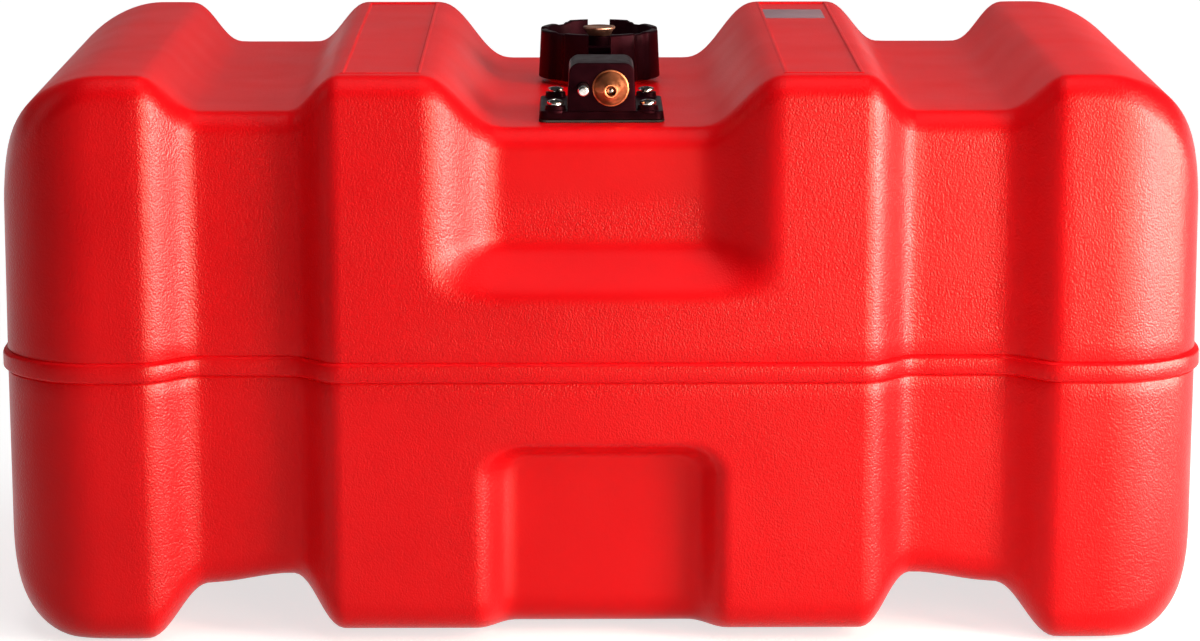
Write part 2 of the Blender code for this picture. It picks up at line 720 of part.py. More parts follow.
def make_screws():
    """Pan-head machine screws, seated on the bosses."""
    seat = PLATE_TOP + BOSS_HEIGHT + SEAT_GAP
    crown = SCREW_HEAD_RADIUS * 0.72
    for number, (x, y) in enumerate(screw_places(), 1):
        profile = [
            (0.0, seat + SCREW_HEAD_HEIGHT),
            (crown, seat + SCREW_HEAD_HEIGHT * 0.93),
            (SCREW_HEAD_RADIUS, seat + SCREW_HEAD_HEIGHT * 0.48),
            (SCREW_HEAD_RADIUS, seat),
            (SCREW_SHANK_RADIUS, seat),
            (SCREW_SHANK_RADIUS, seat - SCREW_LENGTH),
            (0.0, seat - SCREW_LENGTH),
        ]
        shape = turned(profile, FASTENER_STEPS)
        place("plate_screw_" + str(number), shape, "zinc_steel", at=(x, y, 0.0))


def make_nozzle():
    """Brass cone with its rim, the lip that holds the ball, the spring's bore and the shank."""
    lip = NOZZLE_MOUTH_DEPTH - NOZZLE_LENGTH
    seat_end = NOZZLE_SHANK_LENGTH - SPRING_SEAT_DEPTH
    profile = [
        (NOZZLE_MOUTH_RADIUS, -NOZZLE_LENGTH),
        (NOZZLE_TIP_RADIUS, -NOZZLE_LENGTH),
        (NOZZLE_RADIUS, -NOZZLE_RIM - SEAT_GAP),
        (NOZZLE_RADIUS, -SEAT_GAP),
        (NOZZLE_SHANK_RADIUS, -SEAT_GAP),
        (NOZZLE_SHANK_RADIUS, NOZZLE_SHANK_LENGTH),
        (FUEL_WAY_RADIUS - SPRING_WIRE, NOZZLE_SHANK_LENGTH),
        (FUEL_WAY_RADIUS - SPRING_WIRE, seat_end),
        (NOZZLE_BORE_RADIUS, seat_end),
        (NOZZLE_BORE_RADIUS, lip + LIP_RUN),
        (NOZZLE_MOUTH_RADIUS, lip),
    ]
    shape = lay_along_y(turned(profile, 28))
    place("nozzle", shape, "brass", at=(NOZZLE_OFFSET, BLOCK_FRONT_Y, CONNECTOR_Z))


def make_nozzle_seal():
    """Ring seal round the shank, in the block's counterbore."""
    inner = NOZZLE_SHANK_RADIUS + SEAT_GAP / 2
    wire = (SEAL_WIRE - SEAT_GAP) / 2
    shape = lay_along_y(turned(arc((inner + wire, wire + SEAT_GAP), wire, 0, 315, 7), 24))
    place("nozzle_seal", shape, "black_rubber", at=(NOZZLE_OFFSET, BLOCK_FRONT_Y, CONNECTOR_Z))


def ball_rest():
    """Place of the ball's centre behind the nozzle's cone-shaped lip, from the block's face."""
    slope = math.atan2(NOZZLE_BORE_RADIUS - NOZZLE_MOUTH_RADIUS, LIP_RUN)
    reach = BALL_RADIUS + RUNNING_GAP / 2
    behind_lip = reach / math.sin(slope) - NOZZLE_MOUTH_RADIUS / math.tan(slope)
    return NOZZLE_MOUTH_DEPTH - NOZZLE_LENGTH + behind_lip


def make_valve():
    """The ball, its empty on the slide's axis, and the spring behind it."""
    at = (NOZZLE_OFFSET, BLOCK_FRONT_Y + ball_rest(), CONNECTOR_Z)
    slide = joint_empty("ball_slide", at)
    shape = bmesh.new()
    bmesh.ops.create_uvsphere(shape, u_segments=16, v_segments=10, radius=BALL_RADIUS)
    place("check_ball", shape, "zinc_steel", slide)
    start = ball_rest() + BALL_RADIUS + SPRING_WIRE / 2 + SEAT_GAP / 2
    end = NOZZLE_SHANK_LENGTH - SPRING_SEAT_DEPTH - SPRING_WIRE / 2 - SEAT_GAP
    spring = helix("valve_spring", SPRING_RADIUS, start, end, SPRING_TURNS)
    spring.location = (NOZZLE_OFFSET, BLOCK_FRONT_Y, CONNECTOR_Z)
    spring.rotation_euler = (math.radians(-90), 0.0, 0.0)


def helix(name, radius, start, end, turns, points_per_turn=10):
    """A coil of round wire along Z, one unbroken tube."""
    wire = bpy.data.curves.new(name, "CURVE")
    wire.dimensions = "3D"
    wire.bevel_depth = SPRING_WIRE / 2
    wire.bevel_resolution = 1
    wire.use_fill_caps = True
    count = turns * points_per_turn
    line = wire.splines.new("POLY")
    line.points.add(count)
    for step in range(count + 1):
        angle = math.tau * step / points_per_turn
        height = start + (end - start) * step / count
        line.points[step].co = (radius * math.cos(angle), radius * math.sin(angle), height, 1.0)
    item = bpy.data.objects.new(name, wire)
    item.data.materials.append(finish("zinc_steel"))
    bpy.context.collection.objects.link(item)
    return item


def make_guide_pin():
    """Steel pin that lines the hose connector up, with a rounded nose."""
    profile = [
        (0.0, -PIN_REACH),
        (PIN_RADIUS - PIN_NOSE, -PIN_REACH),
        (PIN_RADIUS - PIN_NOSE / 3, -PIN_REACH + PIN_NOSE / 3),
        (PIN_RADIUS, -PIN_REACH + PIN_NOSE),
        (PIN_RADIUS, PIN_SHANK),
        (0.0, PIN_SHANK),
    ]
    shape = lay_along_y(turned(profile, SMALL_ROUND_STEPS))
    place("guide_pin", shape, "zinc_steel", at=(PIN_OFFSET, BLOCK_FRONT_Y, CONNECTOR_Z))


def make_pickup_tube():
    """Straight tube pushed over the barb, down to just above the tank's floor."""
    bore = BARB_RADIUS + BARB_STEP + SEAT_GAP
    top = PLATE_Z - SPIGOT_LENGTH - SEAT_GAP
    profile = [
        (bore, top),
        (bore + TUBE_WALL, top),
        (bore + TUBE_WALL, TUBE_END_HEIGHT),
        (bore, TUBE_END_HEIGHT),
    ]
    place("pickup_tube", turned(profile, 24), "fuel_hose", at=(0.0, HEAD_Y, 0.0))


def make_strainer():
    """Filter cup over the end of the tube, with tall windows round it."""
    grip = BARB_RADIUS + BARB_STEP + TUBE_WALL + 2 * SEAT_GAP
    low = TANK_FLOOR_INSIDE + STRAINER_CLEARANCE
    high = low + STRAINER_LENGTH
    inside = STRAINER_RADIUS - STRAINER_WALL
    collar = high - STRAINER_WALL * 2
    profile = [
        (0.0, low),
        (STRAINER_RADIUS, low),
        (STRAINER_RADIUS, high),
        (grip, high),
        (grip, collar),
        (inside, collar),
        (inside, low + STRAINER_WALL),
        (0.0, low + STRAINER_WALL),
    ]
    strainer = place("pickup_strainer", turned(profile, 24), "white_acetal", at=(0.0, HEAD_Y, 0.0))
    middle = (low + collar) / 2
    half_height = STRAINER_WINDOW_HEIGHT / 2
    for number in range(STRAINER_WINDOWS // 2):
        outline = cross_slot(STRAINER_RADIUS + OVERRUN, STRAINER_WINDOW)
        slot = prism(outline, middle - half_height, middle + half_height)
        name = "strainer_window_form_" + str(number + 1)
        form = place(name, slot, "white_acetal", at=(0.0, HEAD_Y, 0.0))
        form.rotation_euler = (0.0, 0.0, math.radians(360 / STRAINER_WINDOWS * number + 45))
        combine(strainer, form)


def cross_slot(reach, width):
    """Outline of a straight slot across the middle, along X."""
    half = width / 2
    return [(-reach, -half), (reach, -half), (reach, half), (-reach, half)]


def lobed_ring(radius, height, inset=0.0):
    """A closed ring of points with the grip's lobes, valleys at the two slots."""
    count = CAP_LOBES * CAP_STEPS_PER_LOBE
    ring = []
    for step in range(count):
        angle = math.tau * step / count - math.radians(90)
        wave = math.cos(CAP_LOBES * (angle + math.radians(90)))
        reach = radius - inset - CAP_LOBE * (1.0 + wave)
        ring.append((reach * math.cos(angle), reach * math.sin(angle), height))
    return ring


def cap_grip():
    """The cap's lobed outside as one closed solid, a little narrower at the top."""
    shape = bmesh.new()
    skirt = NECK_TOP - CAP_SKIRT_LAP
    edge = CAP_LOBE
    rings = [
        lobed_ring(CAP_RADIUS, skirt, edge / 2),
        lobed_ring(CAP_RADIUS, skirt + edge / 2),
        lobed_ring(CAP_RADIUS - CAP_TOP_DRAFT, CAP_TOP - edge),
        lobed_ring(CAP_RADIUS - CAP_TOP_DRAFT, CAP_TOP, edge),
    ]
    loops = [[shape.verts.new(point) for point in ring] for ring in rings]
    for near, far in zip(loops, loops[1:]):
        for index in range(len(near)):
            after = (index + 1) % len(near)
            shape.faces.new((near[index], near[after], far[after], far[index]))
    shape.faces.new(loops[0])
    shape.faces.new(loops[-1])
    return shape


def make_cap(parent):
    """Filler cap: socket for the neck below, a deep cup with two slots above."""
    at = (0.0, 0.0, -NECK_TOP)
    cap = place("filler_cap", cap_grip(), "black_nylon", parent, at)
    cup_radius = CAP_RADIUS - CAP_TOP_DRAFT - 2 * CAP_LOBE - CAP_RIM_WALL
    cup = rod(cup_radius, CAP_CUP_Z, CAP_TOP + OVERRUN, ROUND_STEPS)
    combine(cap, place("cap_cup_form", cup, "black_nylon", parent, at))
    skirt = NECK_TOP - CAP_SKIRT_LAP - OVERRUN
    socket = rod(NECK_RADIUS + CAP_THREAD_GAP, skirt, CAP_FLOOR_Z, ROUND_STEPS)
    combine(cap, place("cap_socket_form", socket, "black_nylon", parent, at))
    outline = [(y, x) for x, y in reversed(cross_slot(CAP_RADIUS + OVERRUN, CAP_SLOT_WIDTH))]
    slot = prism(outline, CAP_CUP_Z + SEAT_GAP, CAP_TOP + OVERRUN)
    combine(cap, place("cap_slot_form", slot, "black_nylon", parent, at))
    cut_rim_sides(cap, parent, at)
    hole = rod(VENT_HOLE_RADIUS, CAP_FLOOR_Z - OVERRUN, CAP_CUP_Z + OVERRUN, 16)
    combine(cap, place("vent_hole_form", hole, "black_nylon", parent, at))
    return cap


def cut_rim_sides(cap, parent, at):
    """Lower the rim on both flanks, so that the four horns beside the slots stand up."""
    reach = CAP_RADIUS + OVERRUN
    for side, name in ((0, "rim_side_form_right"), (180, "rim_side_form_left")):
        spread = 90 - math.degrees(CAP_HORN_HALF_ANGLE)
        outline = [(0.0, 0.0)] + arc((0.0, 0.0), reach, side - spread, side + spread, 12)
        wedge = prism(outline, CAP_TOP - CAP_HORN_STEP, CAP_TOP + OVERRUN)
        combine(cap, place(name, wedge, "black_nylon", parent, at))


def make_cap_gasket(parent):
    """Ring seal between the neck's rim and the cap's floor."""
    low = NECK_TOP + SEAT_GAP
    high = low + CAP_GASKET_THICKNESS
    inner = NECK_RADIUS - CAP_GASKET_WIDTH
    profile = [(inner, low), (NECK_RADIUS, low), (NECK_RADIUS, high), (inner, high)]
    place("cap_gasket", turned(profile), "black_rubber", parent, (0.0, 0.0, -NECK_TOP))


def make_splash_disc(parent):
    """Disc on a short post under the vent hole, with a cross way for the air."""
    top = CAP_FLOOR_Z - SEAT_GAP
    face = top - SPLASH_DROP
    profile = [
        (VENT_HOLE_RADIUS, top),
        (VENT_HOLE_RADIUS + SPLASH_LUG_RADIUS, top),
        (VENT_HOLE_RADIUS + SPLASH_LUG_RADIUS, face),
        (SPLASH_RADIUS, face),
        (SPLASH_RADIUS, face - SPLASH_THICKNESS),
        (0.0, face - SPLASH_THICKNESS),
        (0.0, face),
        (VENT_HOLE_RADIUS, face),
    ]
    shape = turned_open(profile)
    disc = place("splash_disc", shape, "black_nylon", parent, (0.0, 0.0, -NECK_TOP))
    outline = cross_slot(VENT_HOLE_RADIUS + SPLASH_LUG_RADIUS + OVERRUN, VENT_HOLE_RADIUS)
    way = prism(outline, face + SEAT_GAP, top - SPLASH_DROP / 3)
    combine(disc, place("splash_way_form", way, "black_nylon", parent, (0.0, 0.0, -NECK_TOP)))


def turned_open(profile):
    """Turn a closed outline that touches the axis on its two middle points."""
    start = next(index for index, point in enumerate(profile) if point[0] == 0.0)
    ordered = profile[start + 1:] + profile[:start + 1]
    return turned(ordered, 24)


def make_vent_hub(parent):
    """Stepped bush pressed into the cap's cup, with a chamber round the stem."""
    bore = STEM_RADIUS + RUNNING_GAP
    chamber = HUB_Z + HUB_CHAMBER_HEIGHT
    edge = SEAT_GAP * 2
    profile = [
        (bore, HUB_TOP),
        (HUB_POST_RADIUS - edge, HUB_TOP),
        (HUB_POST_RADIUS, HUB_TOP - edge),
        (HUB_POST_RADIUS, HUB_BASE_TOP),
        (HUB_RADIUS - edge, HUB_BASE_TOP),
        (HUB_RADIUS, HUB_BASE_TOP - edge),
        (HUB_RADIUS, HUB_Z),
        (HUB_CHAMBER_RADIUS, HUB_Z),
        (HUB_CHAMBER_RADIUS, chamber),
        (bore, chamber),
    ]
    place("vent_hub", turned(profile, 28), "black_nylon", parent, (0.0, 0.0, -NECK_TOP))


def make_vent_seal(parent):
    """Ring seal on the foot of the stem, which shuts the vent hole."""
    low = HUB_Z
    inner = STEM_RADIUS + SEAT_GAP
    outer = inner + VENT_SEAL_WIDTH
    high = low + VENT_SEAL_HEIGHT
    profile = [(inner, low), (outer, low), (outer, high), (inner, high)]
    place("vent_seal", turned(profile, SMALL_ROUND_STEPS), "black_rubber", parent, (0.0, 0.0, -KNOB_Z))


def make_vent_stem(parent):
    """Brass stem from inside the knob down to the vent hole."""
    top = KNOB_Z + KNOB_SOCKET_DEPTH - SEAT_GAP
    shape = rod(STEM_RADIUS, HUB_Z, top, 16)
    place("vent_stem", shape, "brass", parent, (0.0, 0.0, -KNOB_Z))


def make_vent_knob(parent):
    """Disc with a fine bevel on a cone, with a blind socket for the stem."""
    disc = KNOB_Z + KNOB_CONE_HEIGHT
    top = disc + KNOB_DISC_HEIGHT
    edge = KNOB_DISC_HEIGHT / 4
    socket = STEM_RADIUS + SEAT_GAP
    profile = [
        (0.0, top),
        (KNOB_RADIUS - edge, top),
        (KNOB_RADIUS, top - edge),
        (KNOB_RADIUS, disc + edge),
        (KNOB_RADIUS - edge, disc),
        (KNOB_FOOT_RADIUS, KNOB_Z),
        (socket, KNOB_Z),
        (socket, KNOB_Z + KNOB_SOCKET_DEPTH),
        (0.0, KNOB_Z + KNOB_SOCKET_DEPTH),
    ]
    place("vent_knob", turned(profile, 28), "copper_anodised", parent, (0.0, 0.0, -KNOB_Z))


def main():
    clear_scene()
    make_tank()
    make_inserts()
    make_pickup_gasket()
    make_pickup_head()
    make_screws()
    make_nozzle()
    make_nozzle_seal()
    make_valve()
    make_guide_pin()
    make_pickup_tube()
    make_strainer()
    cap_axis = joint_empty("cap_axis", (0.0, NECK_Y, NECK_TOP))
    make_cap_gasket(cap_axis)
    make_splash_disc(cap_axis)
    make_cap(cap_axis)
    make_vent_hub(cap_axis)
    knob_axis = joint_empty("vent_axis", (0.0, 0.0, KNOB_Z - NECK_TOP), cap_axis)
    make_vent_seal(knob_axis)
    make_vent_stem(knob_axis)
    make_vent_knob(knob_axis)


main()
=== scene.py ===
"""Looks of the portable outboard fuel tank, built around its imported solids.

Metres, +Z up, in the solids' own frame: the front, with the hand hold and the hose connector, faces -Y.
"""
import math

import bmesh
import bpy
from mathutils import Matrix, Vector


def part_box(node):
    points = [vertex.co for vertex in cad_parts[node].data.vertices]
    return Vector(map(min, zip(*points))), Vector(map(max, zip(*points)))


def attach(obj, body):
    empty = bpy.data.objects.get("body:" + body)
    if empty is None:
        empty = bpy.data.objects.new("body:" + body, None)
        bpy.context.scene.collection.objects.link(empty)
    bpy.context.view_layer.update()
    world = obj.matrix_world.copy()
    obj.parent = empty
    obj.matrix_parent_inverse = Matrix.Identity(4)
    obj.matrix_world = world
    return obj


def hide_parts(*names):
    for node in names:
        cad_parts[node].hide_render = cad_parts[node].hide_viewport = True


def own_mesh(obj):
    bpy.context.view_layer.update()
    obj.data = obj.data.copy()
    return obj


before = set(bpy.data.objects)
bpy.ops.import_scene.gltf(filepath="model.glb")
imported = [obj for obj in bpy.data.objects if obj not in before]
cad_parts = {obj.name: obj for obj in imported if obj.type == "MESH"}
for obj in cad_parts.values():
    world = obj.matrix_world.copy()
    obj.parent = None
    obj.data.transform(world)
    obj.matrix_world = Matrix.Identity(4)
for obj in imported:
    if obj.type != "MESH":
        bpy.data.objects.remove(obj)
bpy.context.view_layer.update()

# Tank shell
HALF_LENGTH = 0.320
HALF_WIDTH = 0.178
TANK_HEIGHT = 0.3066
WALL = 0.0045
MIDDLE_LIFT = 0.0055
END_TOP_RADIUS = 0.058
END_BOTTOM_RADIUS = 0.038
END_UPRIGHT_RADIUS = 0.052
TOP_EDGE_RADIUS = 0.013
BOTTOM_EDGE_RADIUS = 0.019
END_FACE_RADIUS = 0.026
MOULD_DRAFT = 0.0035

# Strap grooves
GROOVE_CENTRE = 0.190
GROOVE_FLOOR = 0.047
GROOVE_INNER_FLANK = 0.027
GROOVE_OUTER_FLANK = 0.030
GROOVE_TOP_DEPTH = 0.0215
GROOVE_SIDE_DEPTH = 0.0195
GROOVE_BOTTOM_DEPTH = 0.026

# Recess for the fittings
RECESS_FLOOR = 0.108
RECESS_FLANK = 0.040
RECESS_DEPTH = 0.0308
RECESS_SETBACK = 0.024
RECESS_FOOT = 0.187
RECESS_RAMP = 0.030
RECESS_Z = TANK_HEIGHT - RECESS_DEPTH

# Hand hold
POCKET_FLOOR = 0.094
POCKET_FLANK = 0.020
POCKET_DEPTH = 0.017
POCKET_TOP = 0.100
POCKET_RAMP = 0.012
POCKET_CORNER = 0.008

# Share of a flank's width by which its soft blend runs on past both ends
BLEND_OVERRUN = 0.11

# Steps between sections along the length, on flanks and on plain stretches
FLANK_STEP = 0.0024
WIDE_STEP = 0.006

# Parting band: how far it stands out on the ends and the long sides, and its profile
BAND_HEIGHT = 0.1498
BAND_PROUD_END = 0.0026
BAND_PROUD_SIDE = 0.0014
BAND_PROFILE = (
    (-0.0064, 0.0), (-0.0059, -0.10), (-0.0055, -0.28), (-0.0052, 0.05), (-0.0047, 0.60), (-0.0042, 0.88),
    (-0.0036, 1.0), (0.0, 1.0), (0.0036, 1.0), (0.0042, 0.88), (0.0047, 0.60), (0.0052, 0.05),
    (0.0055, -0.28), (0.0059, -0.10), (0.0064, 0.0),
)

# Smooth pads on the shell: where they fade out sideways, and their heights as shares of the tank's
PAD_HALF_WIDTH = 0.048
PAD_END = 0.066
PAD_HEIGHTS = (
    (0.32, "#FFFFFF"), (0.37, "#000000"), (0.60, "#000000"), (0.63, "#FFFFFF"), (0.69, "#FFFFFF"),
    (0.72, "#000000"), (0.76, "#000000"), (0.80, "#FFFFFF"), (0.87, "#FFFFFF"), (0.90, "#000000"),
)

# Bare raised-border panels on top of the two middle ridges
PANEL_CENTRE = 0.1167
PANEL_HALF_WIDTH = 0.0213
PANEL_HALF_LENGTH = 0.1570
PANEL_SLOPE = 0.0007
PANEL_BORDER = 0.0010
PANEL_RISE = 0.0004
PANEL_SINK = 0.0005

# Blank label on the right panel
LABEL_WIDTH = 0.0368
LABEL_DEPTH = 0.042
LABEL_CORNER = 0.0015
LABEL_PLACE = (0.1140, 0.104)

# Filler neck and its outside thread
NECK_Y = 0.040
NECK_RADIUS = 0.0285
NECK_BORE_RADIUS = 0.0235
NECK_RISE = 0.0115
NECK_TOP = RECESS_Z + NECK_RISE
NECK_PATCH_HALF = 0.044
THREAD_PITCH = 0.004
THREAD_DEPTH = 0.0011
NECK_FILLET = 0.0016
NECK_EDGE = 0.0010

# Pickup head
HEAD_Y = -0.096
PLATE_WIDTH = 0.067
PLATE_DEPTH = 0.062
PLATE_CORNER = 0.004
PLATE_Z = RECESS_Z + 0.0016
PLATE_TOP = PLATE_Z + 0.0046
SCREW_X = 0.02475
SCREW_Y = 0.025
BOSS_RADIUS = 0.0055
BOSS_TOP = PLATE_TOP + 0.0028
BLOCK_WIDTH = 0.0364
BLOCK_DEPTH = 0.036
BLOCK_FRONT_Y = -0.125
BLOCK_CORNER = 0.0055
BLOCK_TOP = PLATE_TOP + 0.0257
SPIGOT_RADIUS = 0.0085
SPIGOT_END = PLATE_Z - 0.018
BARB_RADIUS = 0.0042
BARB_END = SPIGOT_END - 0.014

# Plate screws
SCREW_HOLE_RADIUS = 0.0024
SCREW_SEAT = BOSS_TOP + 0.0003
SCREW_TOP = SCREW_SEAT + 0.0026
SCREW_HEAD_RADIUS = 0.0045
SCREW_DOME_RADIUS = 0.0105
SCREW_SHANK_RADIUS = 0.0020
SCREW_END = SCREW_SEAT - 0.0160
CROSS_REACH = 0.0023
CROSS_HALF_WIDTH = 0.00045
CROSS_DEPTH = 0.0014

# Hose connector, its profiles as (radius, distance behind the block's front) points
NOZZLE_X = 0.0048
PIN_X = -0.0098
CONNECTOR_Z = PLATE_TOP + 0.0123
SPRING_RADIUS = 0.0024
SPRING_WIRE_RADIUS = 0.0003
SPRING_TURNS = 6
NOZZLE_PROFILE = (
    (0.0027, -0.0128), (0.0030, -0.0130), (0.00345, -0.0130), (0.00375, -0.0127), (0.00905, -0.0020),
    (0.00915, -0.0015), (0.00945, -0.00135), (0.00975, -0.0011), (0.00975, -0.0003), (0.0068, -0.0003),
    (0.0068, 0.0160), (0.0022, 0.0160), (0.0022, 0.0130), (0.0035, 0.0130), (0.0035, -0.0084),
    (0.0027, -0.0100),
)
NOZZLE_BORE = (
    (0.0, -0.001), (0.0089, -0.001), (0.0089, 0.0021), (0.0071, 0.0021), (0.0071, 0.0163), (0.0, 0.0163),
)
PIN_BORE = ((0.0, -0.001), (0.0037, -0.001), (0.0034, 0.0003), (0.0034, 0.0113), (0.0, 0.0113))
PIN_RADIUS = 0.0031
PIN_NOSE_RADIUS = 0.0016
PIN_TIP = -0.0130
PIN_FOOT = 0.0110

# Filler cap, its lobes' valleys and the heights of its rim
CAP_RADIUS = 0.0352
CAP_TOP_DRAFT = 0.0012
CAP_SKIRT_Z = NECK_TOP - 0.0085
CAP_FLOOR_Z = NECK_TOP + 0.0022
CAP_CUP_Z = CAP_FLOOR_Z + 0.0030
CAP_RIM_Z = CAP_CUP_Z + 0.0136
CAP_CUP_RADIUS = 0.0298
CAP_SOCKET_RADIUS = 0.0303
CAP_VALLEY_DEPTH = 0.0021
CAP_VALLEY_HALF_ANGLE = 10.5
CAP_SLOT_WIDTH = 0.0126
CAP_HORN_RISE = 0.0009
CAP_FRONT_DROP = 0.0002
CAP_VALLEY_DROP = 0.0008
CAP_HORN_HALF_ANGLE = 31.0
CAP_HOLE_RADIUS = 0.0020
CAP_STEPS = 240

# Air vent
HUB_Z = CAP_CUP_Z + 0.0003
HUB_TOP = HUB_Z + 0.0089
HUB_FOOT_TOP = HUB_Z + 0.0034
HUB_FOOT_RADIUS = 0.0120
HUB_RADIUS = 0.0070
KNOB_Z = HUB_TOP + 0.0003
KNOB_DISC_Z = KNOB_Z + 0.0036
KNOB_RADIUS = 0.0092
KNOB_MILLING = 48

# Camera, from the photograph's edges: 1200 x 641 pixels
PHOTO_WIDTH = 1200
FOCAL_PIXELS = 3965.0
SENSOR_WIDTH = 36.0
CAMERA_PLACE = (-0.0186, -2.2236, 0.5886)
CAMERA_PITCH = 11.339
CAMERA_YAW = -0.483


# Node operations
MULTIPLY = {"operation": "MULTIPLY"}
LARGER = {"operation": "MAXIMUM"}
LENGTH = {"operation": "LENGTH"}


def linear(code):
    """Linear colour with alpha 1 from an sRGB hex code."""
    parts = [int(code[start:start + 2], 16) / 255 for start in (1, 3, 5)]
    return tuple(c / 12.92 if c <= 0.04045 else ((c + 0.055) / 1.055) ** 2.4 for c in parts) + (1.0,)


def add_node(tree, kind, options=(), values=(), links=()):
    """Add one shader node, choose its options, set its input values and link its inputs."""
    node = tree.nodes.new("ShaderNode" + kind)
    for name, value in dict(options).items():
        setattr(node, name, value)
    for name, value in dict(values).items():
        node.inputs[name].default_value = value
    for name, output in dict(links).items():
        tree.links.new(output, node.inputs[name])
    return node


def new_material(name, values):
    """A Principled material with its plain values set, and what its patterns hang on."""
    material = bpy.data.materials.new(name)
    material.use_nodes = True
    tree = material.node_tree
    shader = tree.nodes["Principled BSDF"]
    for key, value in values.items():
        shader.inputs[key].default_value = value
    return material, tree, shader, add_node(tree, "TexCoord").outputs["Object"]


def feed(tree, shader, links):
    """Link outputs to the shader's own sockets."""
    for name, output in links.items():
        tree.links.new(output, shader.inputs[name])


def ramp_colours(tree, factor, stops):
    """A colour ramp with the given (position, hex code) stops."""
    ramp_node = add_node(tree, "ValToRGB", links={"Fac": factor})
    elements = ramp_node.color_ramp.elements
    while len(elements) < len(stops):
        elements.new(0.5)
    for element, (position, code) in zip(elements, stops):
        element.position = position
        element.color = linear(code)
    return ramp_node.outputs["Color"]


def span(tree, factor, low, high, to_low, to_high):
    """Map a factor from one range to another."""
    values = {"From Min": low, "From Max": high, "To Min": to_low, "To Max": to_high}
    return add_node(tree, "MapRange", values=values, links={"Value": factor}).outputs["Result"]


def millimetres(size):
    """Texture scale at which one cell of a pattern is this many millimetres."""
    return 1000.0 / size


def cells(size, detail=2.0):
    """Scale and detail of a noise whose cells are this many millimetres."""
    return {"Scale": millimetres(size), "Detail": detail}


def blow_moulded_polyethylene():
    """High-density polyethylene, blow moulded against a spark-eroded mould.

    The eye sees a deep warm red, domed pebbles that break each highlight into flecks, smooth pads
    in the recess and the hand hold, and a waxy, slightly uneven gloss. The pebbles are 0.9 mm.
    """
    material, tree, shader, place = new_material(
        "blow_moulded_polyethylene", {"Roughness": 0.32, "IOR": 1.51, "Specular IOR Level": 0.13}
    )
    flow = add_node(tree, "TexNoise", values=cells(85), links={"Vector": place}).outputs["Fac"]
    colours = ramp_colours(tree, flow, ((0.30, "#E20610"), (0.55, "#E80812"), (0.75, "#EC0A14")))
    drawn = add_node(tree, "VectorMath", MULTIPLY, {1: (1.0, 0.85, 0.78)}, {0: place})
    pebbles = add_node(
        tree,
        "TexVoronoi",
        {"feature": "SMOOTH_F1"},
        {"Scale": millimetres(0.9), "Smoothness": 0.5, "Randomness": 1.0},
        {"Vector": drawn.outputs["Vector"]},
    )
    split = add_node(tree, "SeparateXYZ", links={"Vector": place})
    sideways = add_node(tree, "Math", {"operation": "ABSOLUTE"}, links={0: split.outputs["X"]})
    across = span(tree, sideways.outputs[0], PAD_HALF_WIDTH, PAD_END, 1.0, 0.0)
    height = span(tree, split.outputs["Z"], 0.0, TANK_HEIGHT, 0.0, 1.0)
    upright = ramp_colours(tree, height, PAD_HEIGHTS)
    pad = add_node(tree, "Math", MULTIPLY, links={0: across, 1: upright})
    grain = add_node(
        tree,
        "Bump",
        {"invert": True},
        {"Distance": 0.00020},
        {"Height": pebbles.outputs["Distance"], "Strength": span(tree, pad.outputs[0], 0.0, 1.0, 0.85, 0.2)},
    )
    sink = add_node(tree, "TexNoise", values=cells(38, 1.0), links={"Vector": place})
    wave = add_node(
        tree,
        "Bump",
        values={"Strength": 0.2, "Distance": 0.0010},
        links={"Height": sink.outputs["Fac"], "Normal": grain.outputs["Normal"]},
    )
    gloss = span(tree, sink.outputs["Fac"], 0.1, 0.9, 0.27, 0.37)
    feed(tree, shader, {"Base Color": colours, "Roughness": gloss, "Normal": wave.outputs["Normal"]})
    return material


def mottled(name, values, cloud, stops, gloss=None, relief=None, stretch=(1.0, 1.0, 1.0)):
    """A material whose colours, and gloss where given, follow one noise, with a relief if given.

    A noise is (millimetres, detail). The gloss is the roughness where dark and where bright, the
    relief is (strength, depth, noise), and the stretch draws the patterns out along an axis.
    """
    material, tree, shader, place = new_material(name, values)
    drawn = add_node(tree, "VectorMath", MULTIPLY, {1: stretch}, {0: place})
    vector = {"Vector": drawn.outputs["Vector"]}
    mottle = add_node(tree, "TexNoise", values=cells(*cloud), links=vector).outputs["Fac"]
    feed(tree, shader, {"Base Color": ramp_colours(tree, mottle, stops)})
    if gloss:
        feed(tree, shader, {"Roughness": span(tree, mottle, 0.3, 0.7, *gloss)})
    if relief:
        strength, depth, noise = relief
        height = add_node(tree, "TexNoise", values=cells(*noise), links=vector).outputs["Fac"]
        values = {"Strength": strength, "Distance": depth}
        bump = add_node(tree, "Bump", values=values, links={"Height": height})
        feed(tree, shader, {"Normal": bump.outputs["Normal"]})
    return material


